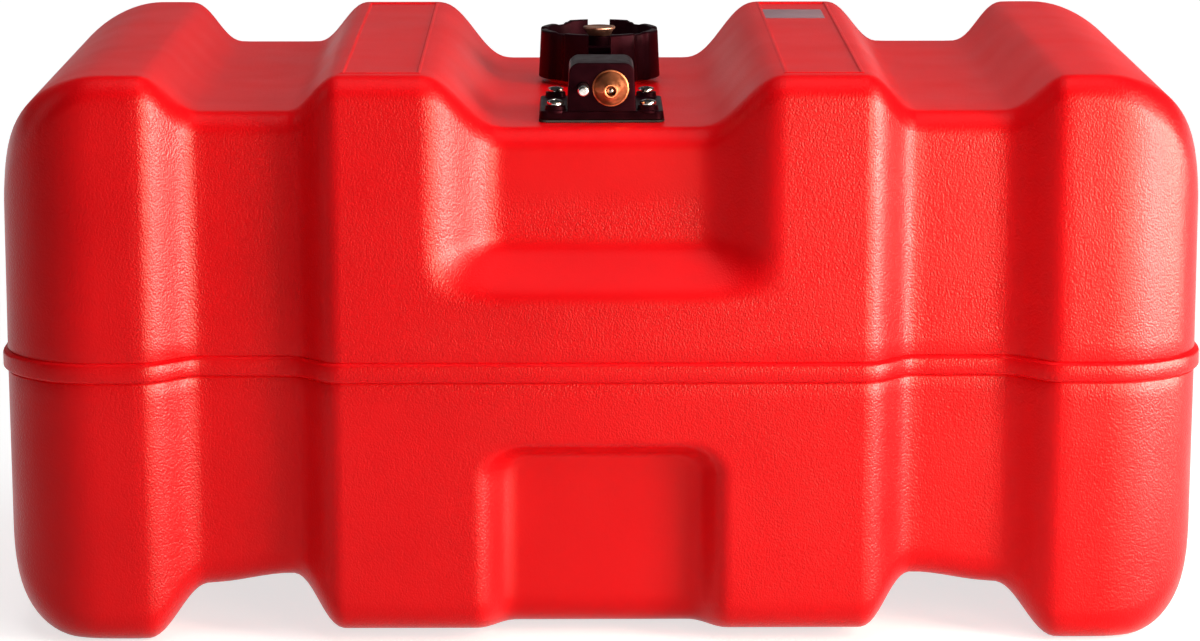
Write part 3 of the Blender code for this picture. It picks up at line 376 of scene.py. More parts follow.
def turned_metal(name, dark, bright, roughness, about, ring_size, ring_depth):
    """A metal turned on a lathe: fine rings about its axis and slow patches of tarnish.

    Real tool marks are under 0.1 mm apart, drawn wider so that they show. The axis passes through
    the about point, along Y where its second value is None, or else along Z.
    """
    material, tree, shader, place = new_material(name, {"Metallic": 1.0, "Roughness": roughness})
    across = (1.0, 0.0, 1.0) if about[1] is None else (1.0, 1.0, 0.0)
    centre = [value or 0.0 for value in about]
    centred = add_node(tree, "VectorMath", {"operation": "SUBTRACT"}, {1: centre}, {0: place})
    flat = add_node(tree, "VectorMath", MULTIPLY, {1: across}, {0: centred.outputs["Vector"]})
    reach = add_node(tree, "VectorMath", LENGTH, links={0: flat.outputs["Vector"]})
    turning = math.tau * millimetres(ring_size)
    turns = add_node(tree, "Math", MULTIPLY, {1: turning}, {0: reach.outputs["Value"]})
    rings = add_node(tree, "Math", {"operation": "SINE"}, links={0: turns.outputs[0]})
    marks = add_node(
        tree, "Bump", values={"Strength": 0.4, "Distance": ring_depth}, links={"Height": rings.outputs[0]}
    )
    tarnish = add_node(tree, "TexNoise", values=cells(4, 3.0), links={"Vector": place}).outputs["Fac"]
    colours = ramp_colours(tree, tarnish, ((0.3, dark), (0.7, bright)))
    patches = span(tree, tarnish, 0.3, 0.7, roughness * 0.8, roughness * 1.3)
    feed(tree, shader, {"Base Color": colours, "Roughness": patches, "Normal": marks.outputs["Normal"]})
    return material


SHELL_RED = blow_moulded_polyethylene()

# Glass-filled nylon, injection moulded: near black with a plum sheen, its gloss clouded by the
# fibres. The spark finish is under 0.1 mm, drawn at 0.5 mm.
BLACK_NYLON = mottled(
    "moulded_black_nylon",
    {"Roughness": 0.36, "IOR": 1.53, "Specular IOR Level": 0.10, "Specular Tint": linear("#D8607C")},
    (7, 3.0),
    ((0.35, "#150408"), (0.7, "#1F070E")),
    gloss=(0.30, 0.42),
    relief=(0.25, 0.00008, (0.5, 2.0)),
)

# Nitrile rubber, compression moulded: dull dark grey with a dusty bloom.
SEAL_RUBBER = mottled(
    "moulded_nitrile_rubber",
    {"Roughness": 0.75, "IOR": 1.52},
    (3, 4.0),
    ((0.35, "#161617"), (0.75, "#26262A")),
    relief=(0.3, 0.0001, (3, 4.0)),
)

# Turned brass: a dull orange with fine rings, its colour pushed redder as a painted reflection of the red
# tank around it.
CONNECTOR_AXIS = (NOZZLE_X, None, CONNECTOR_Z)
NOZZLE_BRASS = turned_metal("turned_brass", "#C9744C", "#DC8C64", 0.46, CONNECTOR_AXIS, 0.45, 0.000003)

# Anodised aluminium, turned: a satin copper disc.
KNOB_COPPER = turned_metal("anodised_copper", "#DC9C86", "#EBB49E", 0.44, (0.0, NECK_Y, 0.0), 0.4, 0.000003)

# Machined brass of the thread inserts: plain yellow, hardly dulled.
INSERT_BRASS = turned_metal("knurled_brass", "#B98A3E", "#D0A558", 0.3, (0.0, HEAD_Y, 0.0), 0.5, 0.000004)

# Cold-headed steel, bright zinc plated: clear silver with a soft mottle and tiny pits.
SCREW_ZINC = mottled(
    "zinc_plated_steel",
    {"Metallic": 1.0, "Roughness": 0.18},
    (1.6, 3.0),
    ((0.3, "#C9C4C2"), (0.7, "#E9E6E4")),
    gloss=(0.14, 0.28),
    relief=(0.25, 0.00006, (1.6, 3.0)),
)

# Lapped ball steel: an almost mirror-like grey, darkened as painted shade of the nozzle's mouth it sits in.
BALL_STEEL = turned_metal("lapped_steel", "#6E6664", "#8A8280", 0.12, CONNECTOR_AXIS, 0.4, 0.000001)

# Blank vinyl foil, calendered: flat mauve grey with a faint roller grain.
LABEL_FOIL = mottled(
    "vinyl_foil",
    {"Roughness": 0.35, "IOR": 1.5},
    (5, 2.0),
    ((0.3, "#94707C"), (0.7, "#A5828C")),
    gloss=(0.3, 0.42),
)

# Nitrile fuel hose, extruded: matt black with faint lines along it.
FUEL_HOSE = mottled(
    "extruded_fuel_hose",
    {"Roughness": 0.6, "IOR": 1.52},
    (0.8, 2.0),
    ((0.3, "#1B1B1D"), (0.7, "#2B2B2E")),
    relief=(0.3, 0.0001, (0.8, 2.0)),
    stretch=(1.0, 1.0, 0.05),
)

# White acetal, injection moulded: milky, smooth, with a slight gloss.
WHITE_ACETAL = mottled(
    "moulded_acetal",
    {"Roughness": 0.35, "IOR": 1.48},
    (6, 2.0),
    ((0.3, "#DAD8D0"), (0.7, "#E8E6DF")),
    gloss=(0.3, 0.42),
)


def dress(item, material, body, nodes=(), sharp=30.0):
    """Give a piece its finish, smooth faces, body and solids."""
    item.data.materials.clear()
    item.data.materials.append(material)
    item.data.shade_smooth()
    item.data.set_sharp_from_angle(angle=math.radians(sharp))
    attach(item, body)
    if nodes:
        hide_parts(*nodes)
    return item


def put(name, data):
    """Put an object in the scene."""
    item = bpy.data.objects.new(name, data)
    bpy.context.scene.collection.objects.link(item)
    return item


def new_object(name, shape):
    """Put a finished shape in the scene, its faces turned outwards."""
    bmesh.ops.recalc_face_normals(shape, faces=shape.faces)
    mesh = bpy.data.meshes.new(name)
    shape.to_mesh(mesh)
    shape.free()
    return put(name, mesh)


def worked(name, base, steps):
    """Join shapes to a base, or cut them from it, and keep the result as one mesh."""
    item = new_object(name, base)
    for number, (operation, shape) in enumerate(steps):
        tool = new_object(name + "_tool_" + str(number), shape)
        modifier = item.modifiers.new(tool.name, "BOOLEAN")
        modifier.operation = operation
        modifier.solver = "EXACT"
        modifier.object = tool
    bpy.context.view_layer.update()
    depsgraph = bpy.context.evaluated_depsgraph_get()
    mesh = bpy.data.meshes.new_from_object(item.evaluated_get(depsgraph))
    for tool in [modifier.object for modifier in item.modifiers]:
        bpy.data.objects.remove(tool, do_unlink=True)
    item.modifiers.clear()
    item.data = mesh
    return item


def blend(first, second, share):
    """A value part of the way from the first to the second."""
    return first + (second - first) * share


def ramp(value, start, end):
    """0 before the start, 1 past the end, and a soft S that begins and ends a little outside them."""
    reach = (end - start) * (1.0 + 2.0 * BLEND_OVERRUN)
    share = min(max((value - start) / reach + BLEND_OVERRUN / (1.0 + 2.0 * BLEND_OVERRUN), 0.0), 1.0)
    return share ** 3 * (share * (share * 6.0 - 15.0) + 10.0)


def spread(start, end, step):
    """Even places from start to end, about a step apart."""
    count = max(1, round((end - start) / step))
    return [start + (end - start) * number / count for number in range(count + 1)]


def arc(centre, radius, start, end, steps):
    """Points on an arc, in degrees, both ends included."""
    angles = [math.radians(start + (end - start) * step / steps) for step in range(steps + 1)]
    return [(centre[0] + radius * math.cos(a), centre[1] + radius * math.sin(a)) for a in angles]


def eased(outline, radius, steps):
    """Round every corner of a closed outline."""
    points = [Vector(point) for point in outline]
    result = []
    for index, corner in enumerate(points):
        before = points[index - 1] - corner
        after = points[(index + 1) % len(points)] - corner
        reach = min(radius, before.length * 0.45, after.length * 0.45)
        start = corner + before.normalized() * reach
        end = corner + after.normalized() * reach
        for step in range(steps + 1):
            share = step / steps
            near, far = start.lerp(corner, share), corner.lerp(end, share)
            result.append(tuple(near.lerp(far, share)))
    return result


def bridge(shape, loops):
    """Faces between neighbouring loops of equally many vertices."""
    for near, far in zip(loops, loops[1:]):
        for index in range(len(near)):
            after = (index + 1) % len(near)
            shape.faces.new((near[index], near[after], far[after], far[index]))


def loft(shape, rings, closed=False):
    """Join rings of equally many points with faces, and close both ends if asked."""
    loops = [[shape.verts.new(point) for point in ring] for ring in rings]
    bridge(shape, loops)
    if closed:
        shape.faces.new(list(reversed(loops[0])))
        shape.faces.new(loops[-1])
    return loops


def lofted(rings):
    """A closed solid from rings."""
    shape = bmesh.new()
    loft(shape, rings, True)
    return shape


def rounded_slab(width, depth, corner, levels, centre):
    """A closed slab with round corners; each level is (draw-in, height)."""
    x, y = width / 2 - corner, depth / 2 - corner
    rings = []
    for inset, z in levels:
        outline = []
        for across, along, start in ((x, y, 0), (-x, y, 90), (-x, -y, 180), (x, -y, 270)):
            outline += arc((centre[0] + across, centre[1] + along), corner - inset, start, start + 90, 6)
        rings.append([(px, py, z) for px, py in outline])
    return lofted(rings)


def turned(profile, steps, centre=(0.0, 0.0, 0.0), along_y=False):
    """Turn (radius, height) points about Z, or about Y with the height running along +Y."""
    shape = bmesh.new()
    loops = []
    for radius, height in profile:
        count = steps if radius > 0.0 else 1
        loop = []
        for step in range(count):
            angle = math.tau * step / steps
            across, up = radius * math.cos(angle), radius * math.sin(angle)
            point = (across, height, up) if along_y else (across, up, height)
            loop.append(shape.verts.new(Vector(point) + Vector(centre)))
        loops.append(loop)
    pairs = list(zip(loops, loops[1:]))
    if profile[0][0] > 0.0:
        pairs.append((loops[-1], loops[0]))
    for near, far in pairs:
        for step in range(steps):
            after = (step + 1) % steps
            corners = [near[step % len(near)], near[after % len(near)]]
            corners += [far[after % len(far)], far[step % len(far)]]
            unique = list(dict.fromkeys(corners))
            if len(unique) > 2:
                shape.faces.new(unique)
    return shape


def box(low, high):
    """A plain block between two corners, used only to cut."""
    corners = [(low[0], low[1]), (high[0], low[1]), (high[0], high[1]), (low[0], high[1])]
    return lofted([[(x, y, z) for x, y in corners] for z in (low[2], high[2])])


def groove_share(x, inset):
    """How far the strap groove is cut in at x."""
    half = (GROOVE_FLOOR + inset) / 2
    inner, outer = GROOVE_CENTRE - half, GROOVE_CENTRE + half
    rise = ramp(abs(x), inner - GROOVE_INNER_FLANK, inner)
    return rise * (1.0 - ramp(abs(x), outer, outer + GROOVE_OUTER_FLANK))


def recess_share(x, inset):
    """How far the fittings' recess is cut in at x."""
    half = (RECESS_FLOOR + inset) / 2
    return 1.0 - ramp(abs(x), half, half + RECESS_FLANK)


def pocket_share(x, z, inset):
    """How far the hand hold is cut in at x and z, with round upper corners."""
    across = max(abs(x) - (POCKET_FLOOR + inset) / 2 + POCKET_CORNER, 0.0)
    above = max(z - POCKET_TOP - inset + POCKET_CORNER, 0.0)
    away = math.hypot(across, above)
    if away == 0.0:
        return 1.0
    width = blend(POCKET_RAMP, POCKET_FLANK, (across / away) ** 2)
    return 1.0 - ramp(away - POCKET_CORNER, 0.0, width)


def end_drop(x, radius, inset):
    """How far a face curves away towards the tank's end."""
    past = max(abs(x) - (HALF_LENGTH - radius), 0.0)
    reach = radius - inset
    return reach - math.sqrt(max(reach ** 2 - past ** 2, 0.0))


def half_depth(x, z, inset):
    """Distance of the front face from the middle plane."""
    above = max(z - BAND_HEIGHT, 0.0) / (TANK_HEIGHT - BAND_HEIGHT)
    below = max(BAND_HEIGHT - z, 0.0) / BAND_HEIGHT
    depth = HALF_WIDTH - inset - end_drop(x, END_UPRIGHT_RADIUS, inset)
    depth -= MOULD_DRAFT * max(above, below)
    depth -= GROOVE_SIDE_DEPTH * groove_share(x, inset)
    foot = ramp(z, RECESS_FOOT - inset, RECESS_FOOT + RECESS_RAMP - inset)
    depth -= RECESS_SETBACK * recess_share(x, inset) * foot
    return depth - POCKET_DEPTH * pocket_share(x, z, inset)


def top_height(x, inset):
    """Height of the top face at x."""
    height = TANK_HEIGHT - inset - end_drop(x, END_TOP_RADIUS, inset)
    height -= GROOVE_TOP_DEPTH * groove_share(x, inset)
    return height - RECESS_DEPTH * recess_share(x, inset)


def bottom_height(x, inset):
    """Height of the underside at x."""
    middle = 1.0 - ramp(abs(x), GROOVE_CENTRE - GROOVE_FLOOR / 2, GROOVE_CENTRE + GROOVE_FLOOR / 2)
    height = inset + end_drop(x, END_BOTTOM_RADIUS, inset)
    return height + GROOVE_BOTTOM_DEPTH * groove_share(x, inset) + MIDDLE_LIFT * middle


def panel_relief(x, y):
    """Height of a bare panel's raised border and sunk floor over its ridge."""
    inside = min(PANEL_HALF_WIDTH - abs(abs(x) - PANEL_CENTRE), PANEL_HALF_LENGTH - abs(y))
    floor_start = PANEL_SLOPE + PANEL_BORDER
    down = ramp(inside, floor_start, floor_start + PANEL_SLOPE)
    return PANEL_RISE * ramp(inside, 0.0, PANEL_SLOPE) - (PANEL_RISE + PANEL_SINK) * down


def border_places(edge, inwards):
    """The lines across a panel's border, from its outer edge inwards."""
    steps = (0.0, PANEL_SLOPE, PANEL_SLOPE + PANEL_BORDER, 2 * PANEL_SLOPE + PANEL_BORDER)
    return [edge + inwards * step for step in steps]


def lengthwise_stations():
    """Places along +X for the sections, close together where the form bends."""
    half_recess = RECESS_FLOOR / 2
    groove_start, groove_end = GROOVE_CENTRE - GROOVE_FLOOR / 2, GROOVE_CENTRE + GROOVE_FLOOR / 2
    arc_start = HALF_LENGTH - END_TOP_RADIUS
    near = border_places(PANEL_CENTRE - PANEL_HALF_WIDTH, 1)
    far = list(reversed(border_places(PANEL_CENTRE + PANEL_HALF_WIDTH, -1)))
    places = spread(0.0, NECK_PATCH_HALF, 0.004) + spread(NECK_PATCH_HALF, half_recess, 0.0035)
    places += spread(half_recess, half_recess + RECESS_FLANK, 0.0026)
    places += near + spread(near[-1], far[0], WIDE_STEP) + far
    places += spread(groove_start - GROOVE_INNER_FLANK, groove_start, FLANK_STEP)
    places += spread(groove_start, groove_end, WIDE_STEP)
    places += spread(groove_end, groove_end + GROOVE_OUTER_FLANK, FLANK_STEP)
    places += spread(groove_end + GROOVE_OUTER_FLANK, arc_start, WIDE_STEP)
    places += [arc_start + END_TOP_RADIUS * math.sin(math.radians(90) * step / 20) for step in range(21)]
    kept = [0.0]
    for place_x in sorted(places):
        if place_x - kept[-1] > PANEL_SLOPE / 2:
            kept.append(place_x)
    kept[-1] = HALF_LENGTH
    return [-place_x for place_x in reversed(kept[1:])] + kept


def crosswise_shares():
    """Places across the top as shares of its flat half, the neck's patch and panel borders among them."""
    crest = half_depth(PANEL_CENTRE, TANK_HEIGHT - TOP_EDGE_RADIUS, 0.0) - TOP_EDGE_RADIUS
    borders = [place / crest for place in border_places(PANEL_HALF_LENGTH, -1)]
    inner = spread(0.0, borders[-1], 0.05)
    positive = inner[1:] + list(reversed(borders[:-1]))
    return [-share for share in reversed(positive)] + [0.0] + positive


def row_shares(stretches):
    """Heights of the level rows as shares of a side, from (start, end, count) stretches."""
    shares = [0.0]
    for start, end, count in stretches:
        shares += [blend(start, end, step / count) for step in range(1, count + 1)]
    return shares


def side_column(x, inset, rows, arc_steps, banded):
    """One side of a section, as (half depth, height) points, with the arcs that run on under and over it."""
    to_end = ramp(abs(x), HALF_LENGTH - END_TOP_RADIUS, HALF_LENGTH)
    low_radius = blend(BOTTOM_EDGE_RADIUS, END_FACE_RADIUS, to_end) - inset
    high_radius = blend(TOP_EDGE_RADIUS, END_FACE_RADIUS, to_end) - inset
    low_z = bottom_height(x, inset) + low_radius
    high_z = top_height(x, inset) - high_radius
    band = [BAND_HEIGHT + offset for offset, share in BAND_PROFILE] if banded else [BAND_HEIGHT]
    low_rows, high_rows = rows
    heights = [blend(low_z, band[0], share) for share in low_rows[:-1]] + band
    heights += [blend(band[-1], high_z, share) for share in high_rows[1:]]
    low_centre = (half_depth(x, low_z, inset) - low_radius, low_z)
    high_centre = (half_depth(x, high_z, inset) - high_radius, high_z)
    column = arc(low_centre, low_radius, -45, 0, arc_steps)[:-1]
    column += [(half_depth(x, z, inset), z) for z in heights]
    column += arc(high_centre, high_radius, 0, 45, arc_steps)[1:]
    foot = arc(low_centre, low_radius, -90, -45, arc_steps)
    head = arc(high_centre, high_radius, 45, 90, arc_steps)
    return column, foot, head


def section(x, inset, rows, arc_steps, banded, shares):
    """A closed section at x, its counts of rows and columns, and where its top's flat points start."""
    column, foot, head = side_column(x, inset, rows, arc_steps, banded)
    front = [(-depth, z) for depth, z in column]
    flat_half, flat_z = head[-1]
    top = [(-depth, z) for depth, z in head[1:]]
    first_flat = len(front) + len(top)
    for y in [share * flat_half for share in shares]:
        top.append((y, flat_z + (panel_relief(x, y) if banded else 0.0)))
    top += [(depth, z) for depth, z in reversed(head[1:])]
    rear = list(reversed(column))
    under_half, under_z = foot[0]
    bottom = list(reversed(foot[:-1])) + [(-share * under_half, under_z) for share in shares]
    bottom += [(-depth, z) for depth, z in foot[:-1]]
    return front + top + rear + bottom, len(column), len(top) + 1, first_flat


def close_end(shape, loop, rows, columns):
    """Fill an end loop with level rows, so that the band runs on across the end."""
    front = loop[:rows]
    top = loop[rows - 1:rows + columns]
    rear = list(reversed(loop[rows + columns - 1:2 * rows + columns - 1]))
    bottom = [loop[0]] + list(reversed(loop[2 * rows + columns - 1:])) + [rear[0]]
    grid = [front]
    for column in range(1, columns):
        across = (bottom[column].co.y - bottom[0].co.y) / (bottom[-1].co.y - bottom[0].co.y)
        line = [bottom[column]]
        line += [shape.verts.new(front[row].co.lerp(rear[row].co, across)) for row in range(1, rows - 1)]
        grid.append(line + [top[column]])
    grid.append(rear)
    for near, far in zip(grid, grid[1:]):
        for row in range(rows - 1):
            shape.faces.new((near[row], near[row + 1], far[row + 1], far[row]))


def shell(shape, inset, rows, arc_steps, banded, stations, shares):
    """Loft one skin of the tank, and open it where the neck stands. Gives the opening's loop."""
    sections = []
    squeeze = (END_TOP_RADIUS - inset) / END_TOP_RADIUS
    for station in stations:
        past = max(abs(station) - (HALF_LENGTH - END_TOP_RADIUS), 0.0)
        x = math.copysign(abs(station) - past + past * squeeze, station)
        points, row_count, columns, first_flat = section(x, inset, rows, arc_steps, banded, shares)
        sections.append([(x, y, z) for y, z in points])
    loops = loft(shape, sections)
    close_end(shape, loops[0], row_count, columns)
    close_end(shape, loops[-1], row_count, columns)
    inside = [number for number, x in enumerate(stations) if abs(x) < NECK_PATCH_HALF + PANEL_SLOPE / 2]
    near_end, far_end = inside[0], inside[-1]
    flat_half = loops[near_end][first_flat + len(shares) - 1].co.y / shares[-1]
    wanted = [line for line, share in enumerate(shares) if abs(share * flat_half - NECK_Y) < NECK_PATCH_HALF]
    front_line, rear_line = first_flat + wanted[0], first_flat + wanted[-1]
    rim = [loops[number][front_line] for number in range(near_end, far_end)]
    rim += [loops[far_end][line] for line in range(front_line, rear_line)]
    rim += [loops[number][rear_line] for number in range(far_end, near_end, -1)]
    rim += [loops[near_end][line] for line in range(rear_line, front_line, -1)]
    middle = [
        loops[number][line]
        for number in range(near_end + 1, far_end)
        for line in range(front_line + 1, rear_line)
    ]
    bmesh.ops.delete(shape, geom=middle, context="VERTS")
    return rim


def raise_band(shape):
    """Push the parting band's rows out along the skin's level direction."""
    bmesh.ops.recalc_face_normals(shape, faces=shape.faces)
    shape.normal_update()
    moves = []
    for vert in shape.verts:
        offset = vert.co.z - BAND_HEIGHT
        for height, share in BAND_PROFILE:
            if abs(offset - height) < 0.00002 and share:
                level = Vector((vert.normal.x, vert.normal.y, 0.0)).normalized()
                proud = blend(BAND_PROUD_SIDE, BAND_PROUD_END, level.x ** 2)
                moves.append((vert, level * proud * share))
    for vert, move in moves:
        vert.co += move


def neck_rings(angles):
    """Rings from the recess floor up the threaded neck, over its rim and down the bore."""
    start, end = RECESS_Z + 0.0022, NECK_TOP - NECK_EDGE - 0.0004
    foot = [(NECK_RADIUS + 0.005, RECESS_Z), (NECK_RADIUS + NECK_FILLET, RECESS_Z)]
    foot.append((NECK_RADIUS + NECK_FILLET * 0.3, RECESS_Z + NECK_FILLET * 0.3))
    foot.append((NECK_RADIUS - 0.0004, RECESS_Z + NECK_FILLET))
    thread = [(NECK_RADIUS - THREAD_DEPTH + 0.0002, z) for z in spread(start, end, 0.0004)]
    bore = arc((NECK_RADIUS - THREAD_DEPTH - 0.0006, NECK_TOP - NECK_EDGE), NECK_EDGE, 0, 90, 4)
    bore += arc((NECK_BORE_RADIUS + NECK_EDGE, NECK_TOP - NECK_EDGE), NECK_EDGE, 90, 180, 4)
    bore += [(NECK_BORE_RADIUS, NECK_TOP - 0.0020), (NECK_BORE_RADIUS, RECESS_Z - WALL + 0.0012)]
    bore.append((NECK_BORE_RADIUS + 0.0012, RECESS_Z - WALL))
    rings = []
    for rows, threaded in ((foot, False), (thread, True), (bore, False)):
        for radius, z in rows:
            fade = ramp(z, start, start + 0.0012) * (1.0 - ramp(z, end - 0.0012, end)) if threaded else 0.0
            ring = []
            for angle in angles:
                turn = (z / THREAD_PITCH - angle / math.tau) % 1.0
                reach = radius + THREAD_DEPTH * ramp(0.5 - abs(turn - 0.5), 0.22, 0.42) * fade
                ring.append((reach * math.cos(angle), NECK_Y + reach * math.sin(angle), z))
            rings.append(ring)
    return rings


def make_tank_skin():
    """The whole blow-moulded shell: outside with band, panels and threaded neck, and the fuel space."""
    shape = bmesh.new()
    stations, shares = lengthwise_stations(), crosswise_shares()
    low_rows = row_shares(((0.0, 0.58, 10), (0.58, 0.79, 15), (0.79, 1.0, 3)))
    high_rows = row_shares(((0.0, 0.22, 3), (0.22, 0.66, 18), (0.66, 1.0, 5)))
    outer_rim = shell(shape, 0.0, (low_rows, high_rows), 6, True, stations, shares)
    raise_band(shape)
    inner_rows = row_shares(((0.0, 1.0, 14),))
    inner_rim = shell(shape, WALL, (inner_rows, inner_rows), 2, False, stations, shares)
    angles = [math.atan2(vert.co.y - NECK_Y, vert.co.x) for vert in outer_rim]
    loops = [outer_rim]
    for ring in neck_rings(angles):
        loops.append([shape.verts.new(point) for point in ring])
    bridge(shape, loops + [inner_rim])
    dress(new_object("tank_skin", shape), SHELL_RED, "root", ["tank_body"], 24.0)


def make_foil_label():
    """Blank foil strip stuck across the rear of the right panel."""
    low = TANK_HEIGHT - PANEL_SINK + 0.00003
    levels = [(0.0, low), (0.0, low + 0.00012), (0.0002, low + 0.0002)]
    shape = rounded_slab(LABEL_WIDTH, LABEL_DEPTH, LABEL_CORNER, levels, LABEL_PLACE)
    dress(new_object("foil_label", shape), LABEL_FOIL, "root")


def head_plate():
    """The flange with eased edges."""
    levels = [(0.0003, PLATE_Z), (0.0, PLATE_Z + 0.0004), (0.0005, PLATE_TOP - 0.0007)]
    levels += [(0.0007, PLATE_TOP - 0.0003), (0.0011, PLATE_TOP - 0.00005), (0.0015, PLATE_TOP)]
    return rounded_slab(PLATE_WIDTH, PLATE_DEPTH, PLATE_CORNER, levels, (0.0, HEAD_Y))


def head_block():
    """The connector block: round upper corners and eased front and rear edges, as one closed solid."""
    rear_y = BLOCK_FRONT_Y + BLOCK_DEPTH
    edge, draft = 0.0009, 0.0008
    steps = [(edge, 0.0), (edge * 0.35, edge * 0.12), (edge * 0.08, edge * 0.45), (0.0, edge)]
    stations = [(inset, BLOCK_FRONT_Y + run) for inset, run in steps]
    stations += [(inset, rear_y - run) for inset, run in reversed(steps)]
    rings = []
    for inset, y in stations:
        reach, radius = BLOCK_WIDTH / 2 - inset, BLOCK_CORNER - inset
        side, high = reach - draft - radius, BLOCK_TOP - inset - radius
        outline = [(reach + 0.0003, PLATE_TOP - 0.002)]
        outline += arc((side, high), radius, 0, 90, 10) + arc((-side, high), radius, 90, 180, 10)
        outline.append((-reach - 0.0003, PLATE_TOP - 0.002))
        rings.append([(x, y, z) for x, z in outline])
    return lofted(rings)


def boss(x, y):
    """A round boss under a screw's head, with a small fillet at its foot."""
    foot = [(0.0, -0.001), (0.0011, -0.001), (0.0009, 0.00005), (0.0003, 0.0004), (0.0, 0.0012)]
    crown = [(-0.0001, -0.0005), (-0.0003, -0.0001), (-0.0007, 0.0)]
    profile = [(BOSS_RADIUS + out, PLATE_TOP + up) for out, up in foot]
    profile += [(BOSS_RADIUS + out, BOSS_TOP + up) for out, up in crown]
    profile[0] = (0.0, PLATE_TOP - 0.001)
    return turned(profile + [(0.0, BOSS_TOP)], 40, (x, y, 0.0))


def make_head():
    """Flange, bosses, block and spigot as one moulding, bored for the nozzle, pin and screws."""
    steps = [("UNION", head_block())]
    low, high = PLATE_Z - 0.002, 0.3
    hole = [(0.0, low), (SCREW_HOLE_RADIUS, low), (SCREW_HOLE_RADIUS, high), (0.0, high)]
    for x in (-SCREW_X, SCREW_X):
        for y in (HEAD_Y - SCREW_Y, HEAD_Y + SCREW_Y):
            steps.append(("UNION", boss(x, y)))
            steps.append(("DIFFERENCE", turned(hole, 24, (x, y, 0.0))))
    spigot = [(0.0, PLATE_Z + 0.001), (SPIGOT_RADIUS, PLATE_Z + 0.001), (SPIGOT_RADIUS, SPIGOT_END)]
    spigot += [(BARB_RADIUS, SPIGOT_END), (BARB_RADIUS, BARB_END), (0.0, BARB_END)]
    steps.append(("UNION", turned(spigot, 32, (0.0, HEAD_Y, 0.0))))
    steps.append(("DIFFERENCE", turned(NOZZLE_BORE, 40, (NOZZLE_X, BLOCK_FRONT_Y, CONNECTOR_Z), True)))
    steps.append(("DIFFERENCE", turned(PIN_BORE, 32, (PIN_X, BLOCK_FRONT_Y, CONNECTOR_Z), True)))
    head = worked("head_moulding", head_plate(), steps)
    dress(head, BLACK_NYLON, "root", ["pickup_head"])


def make_screw(corner, number, x, y, turn):
    """A pan-head screw with a domed head and a cross recess, turned to its own angle."""
    profile = arc((0.0, SCREW_TOP - SCREW_DOME_RADIUS), SCREW_DOME_RADIUS, 90, 72, 5)
    profile[0] = (0.0, SCREW_TOP)
    profile += [(SCREW_HEAD_RADIUS - 0.0004, SCREW_TOP - 0.0009), (SCREW_HEAD_RADIUS, SCREW_TOP - 0.0016)]
    profile += [(SCREW_HEAD_RADIUS, SCREW_SEAT + 0.0002), (SCREW_HEAD_RADIUS - 0.0003, SCREW_SEAT)]
    profile += [(SCREW_SHANK_RADIUS, SCREW_SEAT), (SCREW_SHANK_RADIUS, SCREW_END), (0.0, SCREW_END)]
    floor = (CROSS_REACH * 0.55, CROSS_HALF_WIDTH * 0.7, SCREW_TOP - CROSS_DEPTH)
    mouth = (CROSS_REACH, CROSS_HALF_WIDTH, SCREW_TOP + 0.0003)
    steps = []
    for angle in (turn, turn + math.radians(90)):
        along = Vector((math.cos(angle), math.sin(angle), 0.0))
        beside = Vector((-along.y, along.x, 0.0))
        rings = []
        for reach, half, z in (floor, mouth):
            corners = ((-reach, -half), (reach, -half), (reach, half), (-reach, half))
            rings.append([Vector((x, y, z)) + along * px + beside * py for px, py in corners])
        steps.append(("DIFFERENCE", lofted(rings)))
    screw = worked("screw_" + corner, turned(profile, 40, (x, y, 0.0)), steps)
    dress(screw, SCREW_ZINC, "root", ["plate_screw_" + str(number)])


def make_nozzle():
    """The brass cone: eased rim, a fine groove at its foot, a rounded mouth and its shank."""
    shape = turned(NOZZLE_PROFILE, 72, (NOZZLE_X, BLOCK_FRONT_Y, CONNECTOR_Z), True)
    dress(new_object("nozzle_cone", shape), NOZZLE_BRASS, "root", ["nozzle"], 22.0)


def make_ball():
    """The polished ball behind the nozzle's mouth."""
    low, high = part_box("check_ball")
    radius = (high.z - low.z) / 2
    profile = [(0.0, -radius)] + arc((0.0, 0.0), radius, -90, 90, 18)[1:-1] + [(0.0, radius)]
    ball = new_object("valve_ball", turned(profile, 36, (low + high) / 2))
    dress(ball, BALL_STEEL, "ball", ["check_ball"])


def make_spring():
    """The coil spring behind the ball, on a mesh of its own. The real one shortens towards its rear end as
    the ball is pushed in.
    """
    low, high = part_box("valve_spring")
    centre = (low + high) / 2
    start, end = low.y + SPRING_WIRE_RADIUS, high.y - SPRING_WIRE_RADIUS
    pitch = (end - start) / (math.tau * SPRING_TURNS)
    wire = arc((0.0, 0.0), SPRING_WIRE_RADIUS, 0, 324, 9)
    count = SPRING_TURNS * 28
    rings = []
    for step in range(count + 1):
        angle = math.tau * SPRING_TURNS * step / count
        out = Vector((math.cos(angle), 0.0, math.sin(angle)))
        along = Vector((-out.z * SPRING_RADIUS, pitch, out.x * SPRING_RADIUS))
        side = along.normalized().cross(out)
        middle = Vector((centre.x, blend(start, end, step / count), centre.z)) + out * SPRING_RADIUS
        rings.append([middle + out * across + side * beside for across, beside in wire])
    spring = new_object("coil_spring", lofted(rings))
    dress(spring, SCREW_ZINC, "root", ["valve_spring"])
    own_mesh(spring)


def make_pin():
    """The locating pin with its rounded nose."""
    nose = arc((PIN_RADIUS - PIN_NOSE_RADIUS, PIN_TIP + PIN_NOSE_RADIUS), PIN_NOSE_RADIUS, -90, 0, 6)
    profile = [(0.0, PIN_TIP)] + nose + [(PIN_RADIUS, PIN_FOOT), (0.0, PIN_FOOT)]
    shape = turned(profile, 40, (PIN_X, BLOCK_FRONT_Y, CONNECTOR_Z), True)
    dress(new_object("locating_pin", shape), SCREW_ZINC, "root", ["guide_pin"])


